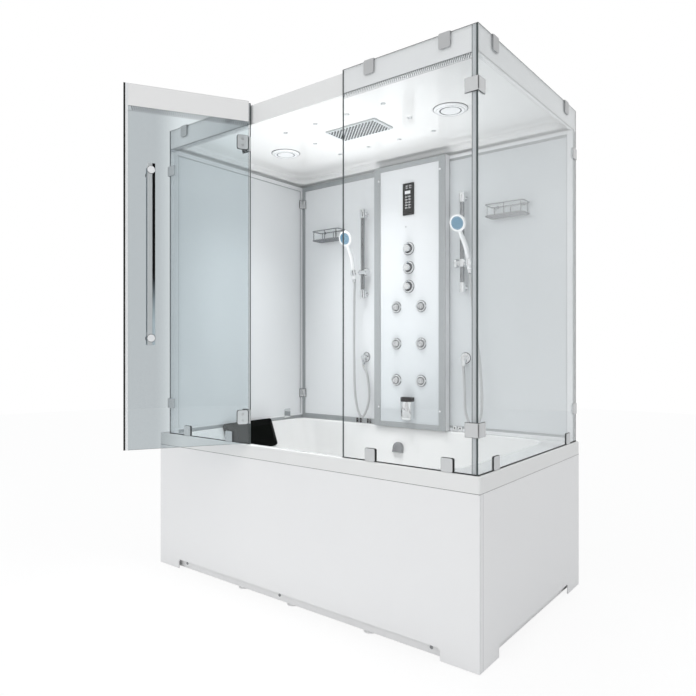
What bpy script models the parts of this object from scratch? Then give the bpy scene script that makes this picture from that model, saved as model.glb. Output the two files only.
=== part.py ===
"""A steam shower cabin standing on a bath tub, with its glass door open 120 degrees.

Metres, +Z up. The front faces -Y, the left and back sides stand against walls. The origin is on
the floor under the middle foot. GAP is the clearance left between pieces that touch. Pieces that
move are parented to an empty on their joint's axis.
"""

import math

import bmesh
import bpy
from mathutils import Matrix, Vector

# Whole unit
TUB_LENGTH = 1.750
TUB_WIDTH = 1.000
RIM_HEIGHT = 0.652
UNIT_HEIGHT = 2.150
GAP = 0.0003
OVERRUN = 0.010
SINK = 0.002
SMALL_EDGE = 0.002

# Tub shell
LIP_HEIGHT = 0.058
LIP_CORNER = 0.020
LIP_EDGE = 0.006
SHELL_WALL = 0.005
BASIN_LEFT = 0.113
BASIN_RIGHT = 0.123
BASIN_FRONT = 0.032
BASIN_BACK = 0.075
BASIN_CORNER = 0.120
BASIN_ROLL = 0.010
FLOOR_HEIGHT = 0.190
BACKREST_RUN = 0.342
RIGHT_RUN = 0.152
FRONT_RUN = 0.168
BACK_RUN = 0.155
FLOOR_CORNER = 0.100
DRAIN_X = 0.130
DRAIN_Y = 0.050
DRAIN_HOLE = 0.026
OVERFLOW_X = -0.040
OVERFLOW_HOLE = 0.015
DEPTH_SHARES = (0.04, 0.36, 0.55, 0.70, 0.82, 0.91, 0.97, 1.0)
STRAIGHT_SHARE = 0.5
OVERFLOW_SHARE = 0.60

# Aprons
APRON_WALL = 0.005
APRON_INSET = 0.001
APRON_CLEARANCE = 0.002
APRON_RETURN = 0.040
KICK_FOOT = 0.150
KICK_HEIGHT = 0.045
KICK_CORNER = 0.012

# Base frame
RAIL_SIZE = 0.030
RAIL_BOTTOM = 0.014
RAIL_HEIGHT = 0.040
RAIL_SETBACK = 0.020
RAIL_STEP = 0.001
FOOT_RADIUS = 0.025
FOOT_THICKNESS = 0.010
STEM_RADIUS = 0.006
FLOOR_RAILS = (-0.300, 0.400)
FLOOR_PAD_OFFSET = 0.180

# Waste, drain plug and overflow
TRAP_RADIUS = 0.045
TRAP_WALL = 0.004
TRAP_DEPTH = 0.085
TRAP_FLANGE = 0.055
TRAP_FLANGE_HEIGHT = 0.008
WASTE_PIPE = 0.020
WASTE_END = 0.440
OVERFLOW_PIPE = 0.013
OVERFLOW_PIPE_BACK = 0.038
PLUG_RADIUS = 0.034
PLUG_HEIGHT = 0.010
PLUG_STEM = 0.005
PLUG_STEM_LENGTH = 0.040
PLUG_SHARES = ((0.0, 1.0), (0.50, 0.90), (0.85, 0.60), (1.0, 0.20))
COVER_WIDTH = 0.062
COVER_HEIGHT = 0.056
COVER_DEPTH = 0.018
COVER_WALL = 0.003
COVER_EDGE = 0.006
COVER_SLITS = 4

# Head cushion
PILLOW_WIDTH = 0.340
PILLOW_Y = -0.020
PILLOW_LENGTH = 0.160
PILLOW_DEPTH = 0.050
PILLOW_CORNER = 0.030
PILLOW_CROWN = 0.045
PILLOW_TOP = 0.668
PILLOW_SEAT = 0.0010
CUSHION_SHARES = ((0.0, 0.10), (0.22, 0.0), (0.55, 0.05), (0.80, 0.28), (0.94, 0.62), (1.0, 1.0))

# Steam generator
STEAM_LENGTH = 0.300
STEAM_DEPTH = 0.110
STEAM_HEIGHT = 0.190
STEAM_EDGE = 0.008
STEAM_PORT = 0.011
STEAM_PORT_LENGTH = 0.020

# Glass walls
GLASS = 0.006
GLASS_INSET = 0.007
SIDE_GLASS_INSET = 0.010
LEFT_GLASS_END = 0.069
DOOR_LEFT = -0.229
DOOR_RIGHT = 0.2925
HINGE_X = -0.226
HINGE_FRONT = 0.007

# Wall frames and wall panels
FRAME_DEPTH = 0.036
FRAME_SETBACK = 0.014
LEFT_SETBACK = 0.063
FRAME_POST = 0.028
FRAME_CORNER_POST = 0.020
FRAME_RAIL = 0.027
HIDDEN_POST = 0.025
PANEL = 0.005
PANEL_RECESS = 0.002

# Roof
ROOF_BOTTOM_DROP = 0.093
ROOF_TOP_DROP = 0.008
CEILING_DROP = 0.050
ROOF_WALL = 0.004
ROOF_CLEARANCE = 0.003
ROOF_CORNER = 0.010
CORNICE_WIDTH = 0.060
CORNICE_SHARES = ((0.0, 0.0), (0.22, 0.0), (0.30, 0.30), (0.62, 0.42), (0.74, 0.86), (1.0, 1.0))

# Clips and clamps that hold the glass
CLIP_WIDTH = 0.046
CLIP_DROP = 0.054
CLIP_PLATE = 0.004
CLIP_BRIDGE = 0.003
CLIP_CORNER = 0.008
CLAMP_EDGE = 0.001
FRONT_RIGHT_CLIPS = (0.119, 0.439)
FRONT_LEFT_CLIPS = (0.115, 0.438)
SIDE_CLIPS = (0.130, 0.849)
CLAMP_SIZE = 0.048
CLAMP_BOSS = 0.0045
UPPER_CLAMP_DROP = 0.200
LOWER_CLAMP_RISE = 0.150
CLAMP_SCREW = 0.012
BOTTOM_CLAMPS_LEFT = (0.142, 0.441)
BOTTOM_CLAMPS_RIGHT = (0.110, 0.434)
BOTTOM_CLAMPS_SIDE = (0.138, 0.869)
INNER_CLAMP = 0.027

# Door, with places measured from its hinge axis while it is shut
DOOR_GAP = 0.008
DOOR_START = 0.0035
DOOR_LENGTH = 0.517
DOOR_REST = 120.0
SEAL_GRIP = 0.010
SEAL_WALL = 0.0012
HINGE_DROP = 0.182
HINGE_RISE = 0.123
HINGE_HEIGHT = 0.060
HINGE_LEAF = 0.046
HINGE_PLATE = 0.004
HINGE_BARREL = 0.0065
HINGE_PIN = 0.003
HINGE_TONGUE = 0.008
HINGE_PLAY = 0.0005
HINGE_SCREW = 0.006
HINGE_SCREW_Z = 0.014
HANDLE_INSET = 0.105
HANDLE_LENGTH = 0.735
HANDLE_HEIGHT = 1.455
HANDLE_WIDTH = 0.030
HANDLE_THICKNESS = 0.012
HANDLE_STANDOFF = 0.034
HANDLE_POST = 0.010
HANDLE_POST_INSET = 0.045
HANDLE_ROSE = 0.016

# Column
COLUMN_X = 0.020
COLUMN_WIDTH = 0.441
COLUMN_PROUD = 0.045
COLUMN_WALL = 0.004
COLUMN_STILE = 0.038
COLUMN_BAR = 0.027
PAD_WIDTH = 0.069
PAD_HEIGHT = 0.169
PAD_DEPTH = 0.006
PAD_DROP = 0.289
PAD_BOSS = 0.008
KNOB_HEIGHTS = (1.600, 1.500, 1.400)
KNOB_RING = 0.033
KNOB_RING_HEIGHT = 0.010
KNOB_CAP = 0.018
KNOB_REACH = 0.032
KNOB_STEM = 0.005
KNOB_STEM_LENGTH = 0.030
KNOB_NOTCH = 0.004
JET_HEIGHTS = (1.293, 1.098, 0.904)
JET_OFFSET = 0.077
JET_RING = 0.0285
JET_RING_HEIGHT = 0.009
JET_BALL = 0.017
JET_FACE = 0.012
JET_REACH = 0.019
JET_EDGE = 0.003
OUTLET_BOTTOM = 0.696
OUTLET_HEIGHT = 0.120
OUTLET_WIDTH = 0.080
OUTLET_DEPTH = 0.050
OUTLET_CORNER = 0.030
OUTLET_TAPER = 0.012
OUTLET_SPIGOT = 0.010

# Valve and pipes behind the column
VALVE_WIDTH = 0.060
VALVE_SETBACK = 0.021
VALVE_DEPTH = 0.036
VALVE_MARGIN = 0.032
VALVE_BORE = 0.015
PIPE_RADIUS = 0.0075
JET_BRANCH = 0.012
SUPPLY_SPREAD = 0.018
SUPPLY_BOTTOM = 0.690
JET_PIPE_DROP = 0.040
JET_PIPE_RISE = 0.045

# Hand showers, left and right of the column
RAIL_OFFSET = 0.309
RAIL_STANDOFF = 0.035
RAIL_RADIUS = 0.011
RAIL_BOTTOM_Z = 1.353
RAIL_TOP_Z = 1.850
RAIL_CAP = 0.016
RAIL_CAP_HEIGHT = 0.048
RAIL_POST = 0.008
RAIL_FLANGE = 0.015
RAIL_FLANGE_THICKNESS = 0.004
SLIDER_Z = 1.498
SLIDER_RADIUS = 0.0150
SLEEVE_RADIUS = 0.0165
SLIDER_KNOB = 0.023
SLIDER_KNOB_START = 0.024
SLIDER_KNOB_END = 0.038
SLIDER_END = 0.020
SLIDER_HEIGHT = 0.038
CRADLE_OFFSET = 0.0485
CRADLE_FORWARD = 0.024
CRADLE_HUB = 0.014
CRADLE_RING = 0.017
CRADLE_MOUTH = 0.015
CRADLE_PIN = 0.005
CRADLE_PIN_LENGTH = 0.0035
CRADLE_HEIGHT = 0.030
CRADLE_LEAN = 12.0
HANDSET_GRIP = 0.0115
HANDSET_BELOW = 0.036
HANDSET_NUT = 0.018
HEAD_RADIUS = 0.043
HEAD_DEPTH = 0.020
HEAD_NECK = 0.012
HEAD_OFFSET = 0.345
HEAD_Y = 0.306
HEAD_Z = 1.677
HEAD_TILT = 18.0
HEAD_EDGE = 0.004
HEAD_BACK_SHARES = ((1.0, 0.0), (0.85, 0.35), (0.50, 0.65), (0.0, 0.75))
NECK_SHARE = 0.3
ARM_SHARE = 0.8
GRIP_SHARES = (0.60, 0.75)
ELBOW_OFFSET = 0.311
ELBOW_Z = 1.025
ELBOW_DISC = 0.027
ELBOW_DISC_DEPTH = 0.010
ELBOW_BODY = 0.012
ELBOW_NUT = 0.0095
ELBOW_NUT_Z = 0.985
ELBOW_STANDOFF = 0.024
HOSE_RADIUS = 0.007
HOSE_STEP = 0.040
LEFT_HOSE = (
    (-0.334, 0.398, 1.330),
    (-0.333, 0.395, 1.050),
    (-0.325, 0.398, 0.800),
    (-0.285, 0.404, 0.690),
    (-0.243, 0.414, 0.790),
    (-0.262, 0.424, 0.920),
)
RIGHT_HOSE = (
    (0.394, 0.396, 1.327),
    (0.412, 0.396, 1.150),
    (0.431, 0.396, 1.000),
    (0.441, 0.398, 0.830),
    (0.432, 0.400, 0.735),
    (0.393, 0.403, 0.684),
    (0.352, 0.410, 0.760),
    (0.342, 0.420, 0.870),
)

# Corner shelves
SHELF_OFFSET = 0.547
SHELF_WIDTH = 0.196
SHELF_DEPTH = 0.090
SHELF_BOTTOM = 1.700
SHELF_HEIGHT = 0.060
SHELF_WIRE = 0.003
SHELF_BAR = 0.002
SHELF_CORNER = 0.012
SHELF_MOUNT = 0.004
SHELF_ROSE = 0.007
SHELF_FLOOR_WIRES = 3
SHELF_UPRIGHTS = 3

# Roof fittings
RAIN_X = 0.034
RAIN_Y = -0.046
RAIN_LENGTH = 0.290
RAIN_WIDTH = 0.150
RAIN_DEPTH = 0.008
RAIN_EDGE = 0.003
RAIN_INLET = 0.010
RAIN_INLET_HEIGHT = 0.030
FIXTURE_RADIUS = 0.0725
FIXTURE_DEPTH = 0.009
FIXTURE_NECK = 0.050
FIXTURE_NECK_HEIGHT = 0.026
FIXTURE_LIP = 0.010
FIXTURE_INNER = 0.034
SPEAKER_X = -0.485
LIGHT_X = 0.493

# Faces on round pieces and corners
SIDES = 16
JET_SIDES = 12
JET_TURN = 0.9
COARSE_SIDES = 10
WIRE_SIDES = 4
HIDDEN_SIDES = 8
CORNER_STEPS = 4
ARC_STEPS = 4
SHARP_ANGLE = math.radians(35)
MERGE = 0.00005

# Derived places
TUB_X = TUB_LENGTH / 2
TUB_Y = TUB_WIDTH / 2
ROOF_BOTTOM = UNIT_HEIGHT - ROOF_BOTTOM_DROP
ROOF_TOP = UNIT_HEIGHT - ROOF_TOP_DROP
CEILING = UNIT_HEIGHT - CEILING_DROP
PAD_Z = UNIT_HEIGHT - PAD_DROP
DECK_UNDERSIDE = RIM_HEIGHT - SHELL_WALL
GLASS_FRONT = -TUB_Y + GLASS_INSET
GLASS_BACK = GLASS_FRONT + GLASS
SIDE_OUTER = TUB_X - SIDE_GLASS_INSET
SIDE_INNER = SIDE_OUTER - GLASS
WALL_LEFT = -TUB_X + LEFT_SETBACK
WALL_BACK = TUB_Y - FRAME_SETBACK
FRAME_FACE = WALL_BACK - FRAME_DEPTH
LEFT_FACE = WALL_LEFT + FRAME_DEPTH
PANEL_FACE = FRAME_FACE + PANEL_RECESS
FRAME_BASE = RIM_HEIGHT + GAP
FRAME_TOP = ROOF_BOTTOM - GAP
COLUMN_FRONT = FRAME_FACE - COLUMN_PROUD
COLUMN_LEFT = COLUMN_X - COLUMN_WIDTH / 2
COLUMN_RIGHT = COLUMN_X + COLUMN_WIDTH / 2
COLUMN_FACE = COLUMN_FRONT + COLUMN_WALL + GAP
HINGE_Y = GLASS_FRONT - HINGE_FRONT
HINGE_HEIGHTS = (UNIT_HEIGHT - HINGE_DROP, RIM_HEIGHT + HINGE_RISE)
CLAMP_HEIGHTS = (RIM_HEIGHT + LOWER_CLAMP_RISE, UNIT_HEIGHT - UPPER_CLAMP_DROP)
RAIL_Y = PANEL_FACE - RAIL_STANDOFF
SHOWER_SIDES = (("left", -1), ("right", 1))


# Scene and objects

def clear_scene():
    for obj in list(bpy.data.objects):
        bpy.data.objects.remove(obj, do_unlink=True)


def make_collection(name):
    collection = bpy.data.collections.new(name)
    bpy.context.scene.collection.children.link(collection)
    return collection


def make_material(name, colour, roughness, metallic=0.0, alpha=1.0):
    material = bpy.data.materials.new(name)
    material.use_nodes = True
    material.diffuse_color = (*colour, alpha)
    shader = material.node_tree.nodes["Principled BSDF"]
    shader.inputs["Base Color"].default_value = (*colour, 1.0)
    shader.inputs["Roughness"].default_value = roughness
    shader.inputs["Metallic"].default_value = metallic
    shader.inputs["Alpha"].default_value = alpha
    return material


def make_materials():
    return {
        "acrylic": make_material("white_acrylic", (0.90, 0.90, 0.90), 0.12),
        "panel": make_material("white_wall_panel", (0.86, 0.88, 0.89), 0.10),
        "apron": make_material("white_apron", (0.88, 0.88, 0.88), 0.25),
        "aluminium": make_material("satin_aluminium", (0.56, 0.57, 0.58), 0.35, 1.0),
        "chrome": make_material("chrome", (0.80, 0.81, 0.82), 0.08, 1.0),
        "satin": make_material("satin_chrome", (0.68, 0.69, 0.70), 0.28, 1.0),
        "steel": make_material("galvanised_steel", (0.50, 0.51, 0.52), 0.45, 1.0),
        "brass": make_material("brass", (0.66, 0.49, 0.24), 0.35, 1.0),
        "glass": make_material("clear_glass", (0.82, 0.92, 0.90), 0.02, 0.0, 0.25),
        "black": make_material("black_plastic", (0.015, 0.015, 0.017), 0.25),
        "foam": make_material("black_foam", (0.02, 0.02, 0.02), 0.55),
        "rubber": make_material("black_seal", (0.03, 0.03, 0.03), 0.60),
        "grey": make_material("grey_plastic", (0.42, 0.43, 0.45), 0.40),
        "white": make_material("white_plastic", (0.85, 0.85, 0.86), 0.22),
    }


def add_object(name, mesh):
    obj = bpy.data.objects.new(name, mesh)
    PARTS.objects.link(obj)
    return obj


def from_bmesh(name, bm, closed=True):
    if closed:
        bmesh.ops.recalc_face_normals(bm, faces=bm.faces)
    mesh = bpy.data.meshes.new(name)
    bm.to_mesh(mesh)
    bm.free()
    return add_object(name, mesh)


def box(name, low, high, radius=0.0, along=None, segments=1):
    """A box between two corners. Its edges, or only those along one axis, are rounded."""
    low, high = Vector(low), Vector(high)
    size = high - low
    bm = bmesh.new()
    bmesh.ops.create_cube(bm, size=1.0)
    bmesh.ops.transform(bm, matrix=Matrix.Diagonal((*size, 1.0)), verts=bm.verts)
    bmesh.ops.translate(bm, vec=(low + high) / 2, verts=bm.verts)
    if radius:
        edges = list(bm.edges)
        if along is not None:
            axis = "XYZ".index(along)
            edges = [e for e in edges if abs((e.verts[0].co - e.verts[1].co)[axis]) > size[axis] / 2]
        bmesh.ops.bevel(
            bm, geom=edges, offset=radius, segments=segments, profile=0.5, affect="EDGES"
        )
    return from_bmesh(name, bm)


def rod(name, start, end, radius, sides=SIDES, end_radius=None, twist=0.0):
    """A round bar or cone between two points."""
    start, end = Vector(start), Vector(end)
    run = end - start
    turn = run.to_track_quat("Z", "Y").to_matrix().to_4x4() @ Matrix.Rotation(twist, 4, "Z")
    bm = bmesh.new()
    bmesh.ops.create_cone(
        bm,
        cap_ends=True,
        segments=sides,
        radius1=radius,
        radius2=radius if end_radius is None else end_radius,
        depth=run.length,
        matrix=Matrix.Translation((start + end) / 2) @ turn,
    )
    return from_bmesh(name, bm)


def hole(name, start, end, radius, sides=SIDES, turn=0.5):
    """A cutter for a round hole that a bar of this radius passes through with GAP all round.

    It is turned by a share of half a face, so that its faces don't lie in line with the bar's.
    """
    half_face = math.pi / sides
    return rod(name, start, end, (radius + GAP) / math.cos(half_face), sides, twist=half_face * turn)


def turned(name, profile, sides=SIDES, direction=(0, 0, 1), at=(0, 0, 0)):
    """A profile of (radius, height) points, from the top of the axis down, turned round that axis."""
    mesh = bpy.data.meshes.new(name)
    points = [(radius, 0.0, height) for radius, height in profile]
    mesh.from_pydata(points, [(i, i + 1) for i in range(len(points) - 1)], [])
    turn = Vector(direction).to_track_quat("Z", "Y").to_matrix().to_4x4()
    obj = add_object(name, mesh)
    screw = obj.modifiers.new("turn", "SCREW")
    screw.axis = "Z"
    screw.steps = sides
    screw.render_steps = sides
    screw.use_merge_vertices = True
    screw.merge_threshold = MERGE
    obj.matrix_world = Matrix.Translation(at) @ turn
    return obj


def tube(name, points, radius, rings=1, closed=False):
    """A round tube along points, as a mesh that can be cut or joined."""
    curve = bpy.data.curves.new(name, "CURVE")
    curve.dimensions = "3D"
    curve.bevel_depth = radius
    curve.bevel_resolution = rings
    curve.use_fill_caps = not closed
    spline = curve.splines.new("POLY")
    spline.points.add(len(points) - 1)
    for point, place in zip(spline.points, points):
        point.co = (*place, 1.0)
    spline.use_cyclic_u = closed
    guide = add_object(name + "_guide", curve)
    graph = bpy.context.evaluated_depsgraph_get()
    mesh = bpy.data.meshes.new_from_object(guide.evaluated_get(graph))
    bpy.data.objects.remove(guide, do_unlink=True)
    bm = bmesh.new()
    bm.from_mesh(mesh)
    bmesh.ops.remove_doubles(bm, verts=bm.verts, dist=MERGE)
    bpy.data.meshes.remove(mesh)
    return from_bmesh(name, bm)


def prism(name, outline, low, high):
    """A plan outline raised from one height to another."""
    bm = bmesh.new()
    face = bm.faces.new([bm.verts.new((x, y, low)) for x, y in outline])
    raised = bmesh.ops.extrude_face_region(bm, geom=[face])["geom"]
    tops = [item for item in raised if isinstance(item, bmesh.types.BMVert)]
    bmesh.ops.translate(bm, vec=(0, 0, high - low), verts=tops)
    return from_bmesh(name, bm)


def rounded_ring(left, right, front, back, radius, height, steps=CORNER_STEPS):
    """Points round a rectangle with rounded corners, at one height."""
    corners = ((right, back, 0), (left, back, 1), (left, front, 2), (right, front, 3))
    points = []
    for x, y, quarter in corners:
        centre_x = x - radius if x == right else x + radius
        centre_y = y - radius if y == back else y + radius
        for step in range(steps + 1):
            angle = math.pi / 2 * (quarter + step / steps)
            points.append(
                Vector((centre_x + radius * math.cos(angle), centre_y + radius * math.sin(angle), height))
            )
    return points


def loft(name, rings, first_cap=True, last_cap=True):
    """Rings of equal counts joined in order, with flat caps at the ends."""
    bm = bmesh.new()
    rows = [[bm.verts.new(point) for point in ring] for ring in rings]
    count = len(rows[0])
    for lower, upper in zip(rows, rows[1:]):
        for i in range(count):
            j = (i + 1) % count
            bm.faces.new((lower[i], lower[j], upper[j], upper[i]))
    if first_cap:
        bm.faces.new(rows[0])
    if last_cap:
        bm.faces.new(rows[-1])
    return from_bmesh(name, bm, first_cap and last_cap)


def combine(body, operation, tools):
    """Adds or takes away other solids, which stay beside the parts as hidden helpers."""
    for tool in tools:
        modifier = body.modifiers.new(tool.name, "BOOLEAN")
        modifier.operation = operation
        modifier.object = tool
        PARTS.objects.unlink(tool)
        HELPERS.objects.link(tool)
        tool.hide_render = True
        tool.display_type = "WIRE"
    return body


def join(body, *tools):
    return combine(body, "UNION", tools)


def cut(body, *tools):
    return combine(body, "DIFFERENCE", tools)


def finish(obj, material):
    obj.data.materials.clear()
    obj.data.materials.append(MATERIALS[material])
    obj.data.shade_smooth()
    obj.data.set_sharp_from_angle(angle=SHARP_ANGLE)
    return obj


def pivot(name, location, rotation=(0, 0, 0), parent=None):
    """An empty on a joint's axis, or on a slanted seat, that carries pieces made round it."""
    empty = bpy.data.objects.new(name, None)
    PARTS.objects.link(empty)
    empty.parent = parent
    empty.location = location
    empty.rotation_euler = rotation
    empty.empty_display_size = FOOT_RADIUS
    return empty


def carry(empty, *pieces):
    for piece in pieces:
        piece.parent = empty
        for modifier in piece.modifiers:
            if modifier.type == "BOOLEAN" and modifier.object.parent is None:
                carry(empty, modifier.object)


def seat(name, origin, across, up):
    """An empty lying on a slanted wall: its X runs across, its Y up the wall and its Z out of it."""
    across, up = Vector(across).normalized(), Vector(up).normalized()
    turn = Matrix((across, up, across.cross(up))).transposed()
    return pivot(name, origin, turn.to_euler())


def smooth_path(points, step):
    """Points at even steps along a smooth curve through a route's own points."""
    points = [Vector(point) for point in points]
    ends = [2 * points[0] - points[1], *points, 2 * points[-1] - points[-2]]
    path = [points[0]]
    for a, b, c, d in zip(ends, ends[1:], ends[2:], ends[3:]):
        count = max(1, round((c - b).length / step))
        for i in range(1, count + 1):
            t = i / count
            path.append(
                b
                + (c - a) * t / 2
                + (2 * a - 5 * b + 4 * c - d) * t**2 / 2
                + (3 * b - a - 3 * c + d) * t**3 / 2
            )
    return path


def d_ring(half, reach, radius, inset, height):
    """A D outline: flat along its near edge, with two round corners at its far edge."""
    points = [Vector((-half + inset, inset, height)), Vector((half - inset, inset, height))]
    for side, quarter in ((1, 0), (-1, 1)):
        start = 1 if side < 0 and half <= radius else 0
        for step in range(start, CORNER_STEPS + 1):
            angle = math.pi / 2 * (quarter + step / CORNER_STEPS)
            points.append(
                Vector(
                    (
                        side * (half - radius) + (radius - inset) * math.cos(angle),
                        reach - radius + (radius - inset) * math.sin(angle),
                        height,
                    )
                )
            )
    return points


# Tub

def draw_in(share):
    """How far a basin wall has come in at a share of the depth, as a share of its whole run."""
    sweep = 1 - (1 - share**3) ** (1 / 3)
    return STRAIGHT_SHARE * share + (1 - STRAIGHT_SHARE) * sweep


def basin_sides(share):
    drawn = draw_in(share)
    return (
        -TUB_X + BASIN_LEFT + BACKREST_RUN * drawn,
        TUB_X - BASIN_RIGHT - RIGHT_RUN * drawn,
        -TUB_Y + BASIN_FRONT + FRONT_RUN * drawn,
        TUB_Y - BASIN_BACK - BACK_RUN * drawn,
    )


def basin_height(share):
    return RIM_HEIGHT - (RIM_HEIGHT - FLOOR_HEIGHT) * share


def basin_ring(share):
    corner = BASIN_CORNER + (FLOOR_CORNER - BASIN_CORNER) * draw_in(share)
    return rounded_ring(*basin_sides(share), corner, basin_height(share))


def roll_ring(angle):
    """The rounded edge where the deck turns down into the basin."""
    grow = BASIN_ROLL * (1 - math.sin(angle))
    left, right, front, back = basin_sides(0.0)
    height = RIM_HEIGHT - BASIN_ROLL * (1 - math.cos(angle))
    return rounded_ring(left - grow, right + grow, front - grow, back + grow, BASIN_CORNER + grow, height)


def lip_ring(angle):
    inset = LIP_EDGE * (1 - math.cos(angle))
    height = RIM_HEIGHT - LIP_EDGE * (1 - math.sin(angle))
    return deck_ring(inset, height)


def deck_ring(inset, height):
    x, y = TUB_X - inset, TUB_Y - inset
    return rounded_ring(-x, x, -y, y, LIP_CORNER - inset, height)


def overflow_place():
    """The overflow's centre on the basin's back wall, and the direction up that wall."""
    top, bottom = DEPTH_SHARES[0], DEPTH_SHARES[1]
    high = Vector((OVERFLOW_X, basin_sides(top)[3], basin_height(top)))
    low = Vector((OVERFLOW_X, basin_sides(bottom)[3], basin_height(bottom)))
    return high.lerp(low, OVERFLOW_SHARE), (high - low).normalized()


def backrest_place():
    """The point of the backrest's plane at the cushion's top edge, and the direction up it."""
    top, bottom = DEPTH_SHARES[0], DEPTH_SHARES[1]
    high = Vector((basin_sides(top)[0], PILLOW_Y, basin_height(top)))
    low = Vector((basin_sides(bottom)[0], PILLOW_Y, basin_height(bottom)))
    up = (high - low).normalized()
    return high + up * ((PILLOW_TOP - high.z) / up.z), up


def tub():
    rings = [deck_ring(0.0, RIM_HEIGHT - LIP_HEIGHT)]
    rings += [lip_ring(math.pi / 2 * step / 2) for step in range(3)]
    rings += [roll_ring(math.pi / 2 * step / 2) for step in range(3)]
    rings += [basin_ring(share) for share in DEPTH_SHARES]
    shell = loft("tub", rings, first_cap=False)
    wall = shell.modifiers.new("wall", "SOLIDIFY")
    wall.thickness = SHELL_WALL
    wall.offset = -1.0
    wall.use_even_offset = True
    floor = FLOOR_HEIGHT + OVERRUN
    drain = rod(
        "drain_hole", (DRAIN_X, DRAIN_Y, floor), (DRAIN_X, DRAIN_Y, floor - 3 * OVERRUN), DRAIN_HOLE
    )
    place, up = overflow_place()
    out = Vector((1, 0, 0)).cross(up)
    overflow = rod("overflow_hole", place + out * OVERRUN, place - out * 2 * OVERRUN, OVERFLOW_HOLE)
    return finish(cut(shell, drain, overflow), "acrylic")


# Aprons round the tub

def apron_edges():
    return TUB_X - APRON_INSET, -TUB_Y + APRON_INSET, RIM_HEIGHT - LIP_HEIGHT - GAP


def front_apron():
    x, y, top = apron_edges()
    inner_y = y + APRON_WALL
    outline = [
        (-x, y),
        (x, y),
        (x - APRON_WALL, inner_y),
        (-x + APRON_WALL, inner_y),
        (-x + APRON_WALL, y + APRON_RETURN),
        (-x, y + APRON_RETURN),
    ]
    board = prism("front_apron", outline, APRON_CLEARANCE, top)
    kick = box(
        "front_kick",
        (-x + KICK_FOOT, y - OVERRUN, -KICK_HEIGHT),
        (x - KICK_FOOT, inner_y + OVERRUN, KICK_HEIGHT),
        KICK_CORNER,
        "Y",
        CORNER_STEPS,
    )
    return finish(cut(board, kick), "apron")


def side_apron():
    x, y, top = apron_edges()
    mitre = y + 2 * GAP
    back = TUB_Y - APRON_INSET
    outline = [
        (x, mitre),
        (x, back),
        (x - APRON_RETURN, back),
        (x - APRON_RETURN, back - APRON_WALL),
        (x - APRON_WALL, back - APRON_WALL),
        (x - APRON_WALL, mitre + APRON_WALL),
    ]
    board = prism("side_apron", outline, APRON_CLEARANCE, top)
    kick = box(
        "side_kick",
        (x - APRON_WALL - OVERRUN, y + KICK_FOOT, -KICK_HEIGHT),
        (x + OVERRUN, back - KICK_FOOT, KICK_HEIGHT),
        KICK_CORNER,
        "X",
        CORNER_STEPS,
    )
    return finish(cut(board, kick), "apron")


# Frame and feet under the tub

def frame_reach():
    edge = APRON_INSET + APRON_WALL + RAIL_SETBACK
    return TUB_X - edge, TUB_Y - edge


def base_frame():
    x, y = frame_reach()
    top = RAIL_BOTTOM + RAIL_HEIGHT
    half = RAIL_SIZE / 2
    middle = y - half
    frame = box("base_frame", (-x, -y, RAIL_BOTTOM), (x, -y + RAIL_SIZE, top))
    pieces = [box("back_rail", (-x, y - RAIL_SIZE, RAIL_BOTTOM), (x, y, top))]
    places = [-x + half, *FLOOR_RAILS, 0.0, x - half]
    for i, place in enumerate(places):
        low = (place - half + RAIL_STEP, -middle, RAIL_BOTTOM + RAIL_STEP)
        high = (place + half - RAIL_STEP, middle, top - RAIL_STEP)
        pieces.append(box(f"cross_rail_{i}", low, high))
    ends = (-1, 1)
    posts = [(a * (x - half), b * middle, DECK_UNDERSIDE) for a in ends for b in ends]
    floor = FLOOR_HEIGHT - SHELL_WALL
    posts += [(rail, a * FLOOR_PAD_OFFSET, floor) for rail in FLOOR_RAILS for a in ends]
    side = half - 2 * RAIL_STEP
    for i, (px, py, height) in enumerate(posts):
        low = (px - side, py - side, RAIL_BOTTOM + 2 * RAIL_STEP)
        high = (px + side, py + side, height - GAP)
        pieces.append(box(f"post_{i}", low, high))
    feet = [(place, end * middle) for place in places for end in (-1, 1)] + [(0.0, 0.0)]
    for i, (px, py) in enumerate(feet):
        pad_top = (px, py, FOOT_THICKNESS)
        pieces.append(rod(f"foot_{i}", (px, py, 0.0), pad_top, FOOT_RADIUS, COARSE_SIDES))
        start, end = (px, py, FOOT_THICKNESS / 2), (px, py, RAIL_BOTTOM + half)
        pieces.append(rod(f"stem_{i}", start, end, STEM_RADIUS, WIRE_SIDES))
    return finish(join(frame, *pieces), "steel")


# Waste, drain plug and overflow

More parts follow.
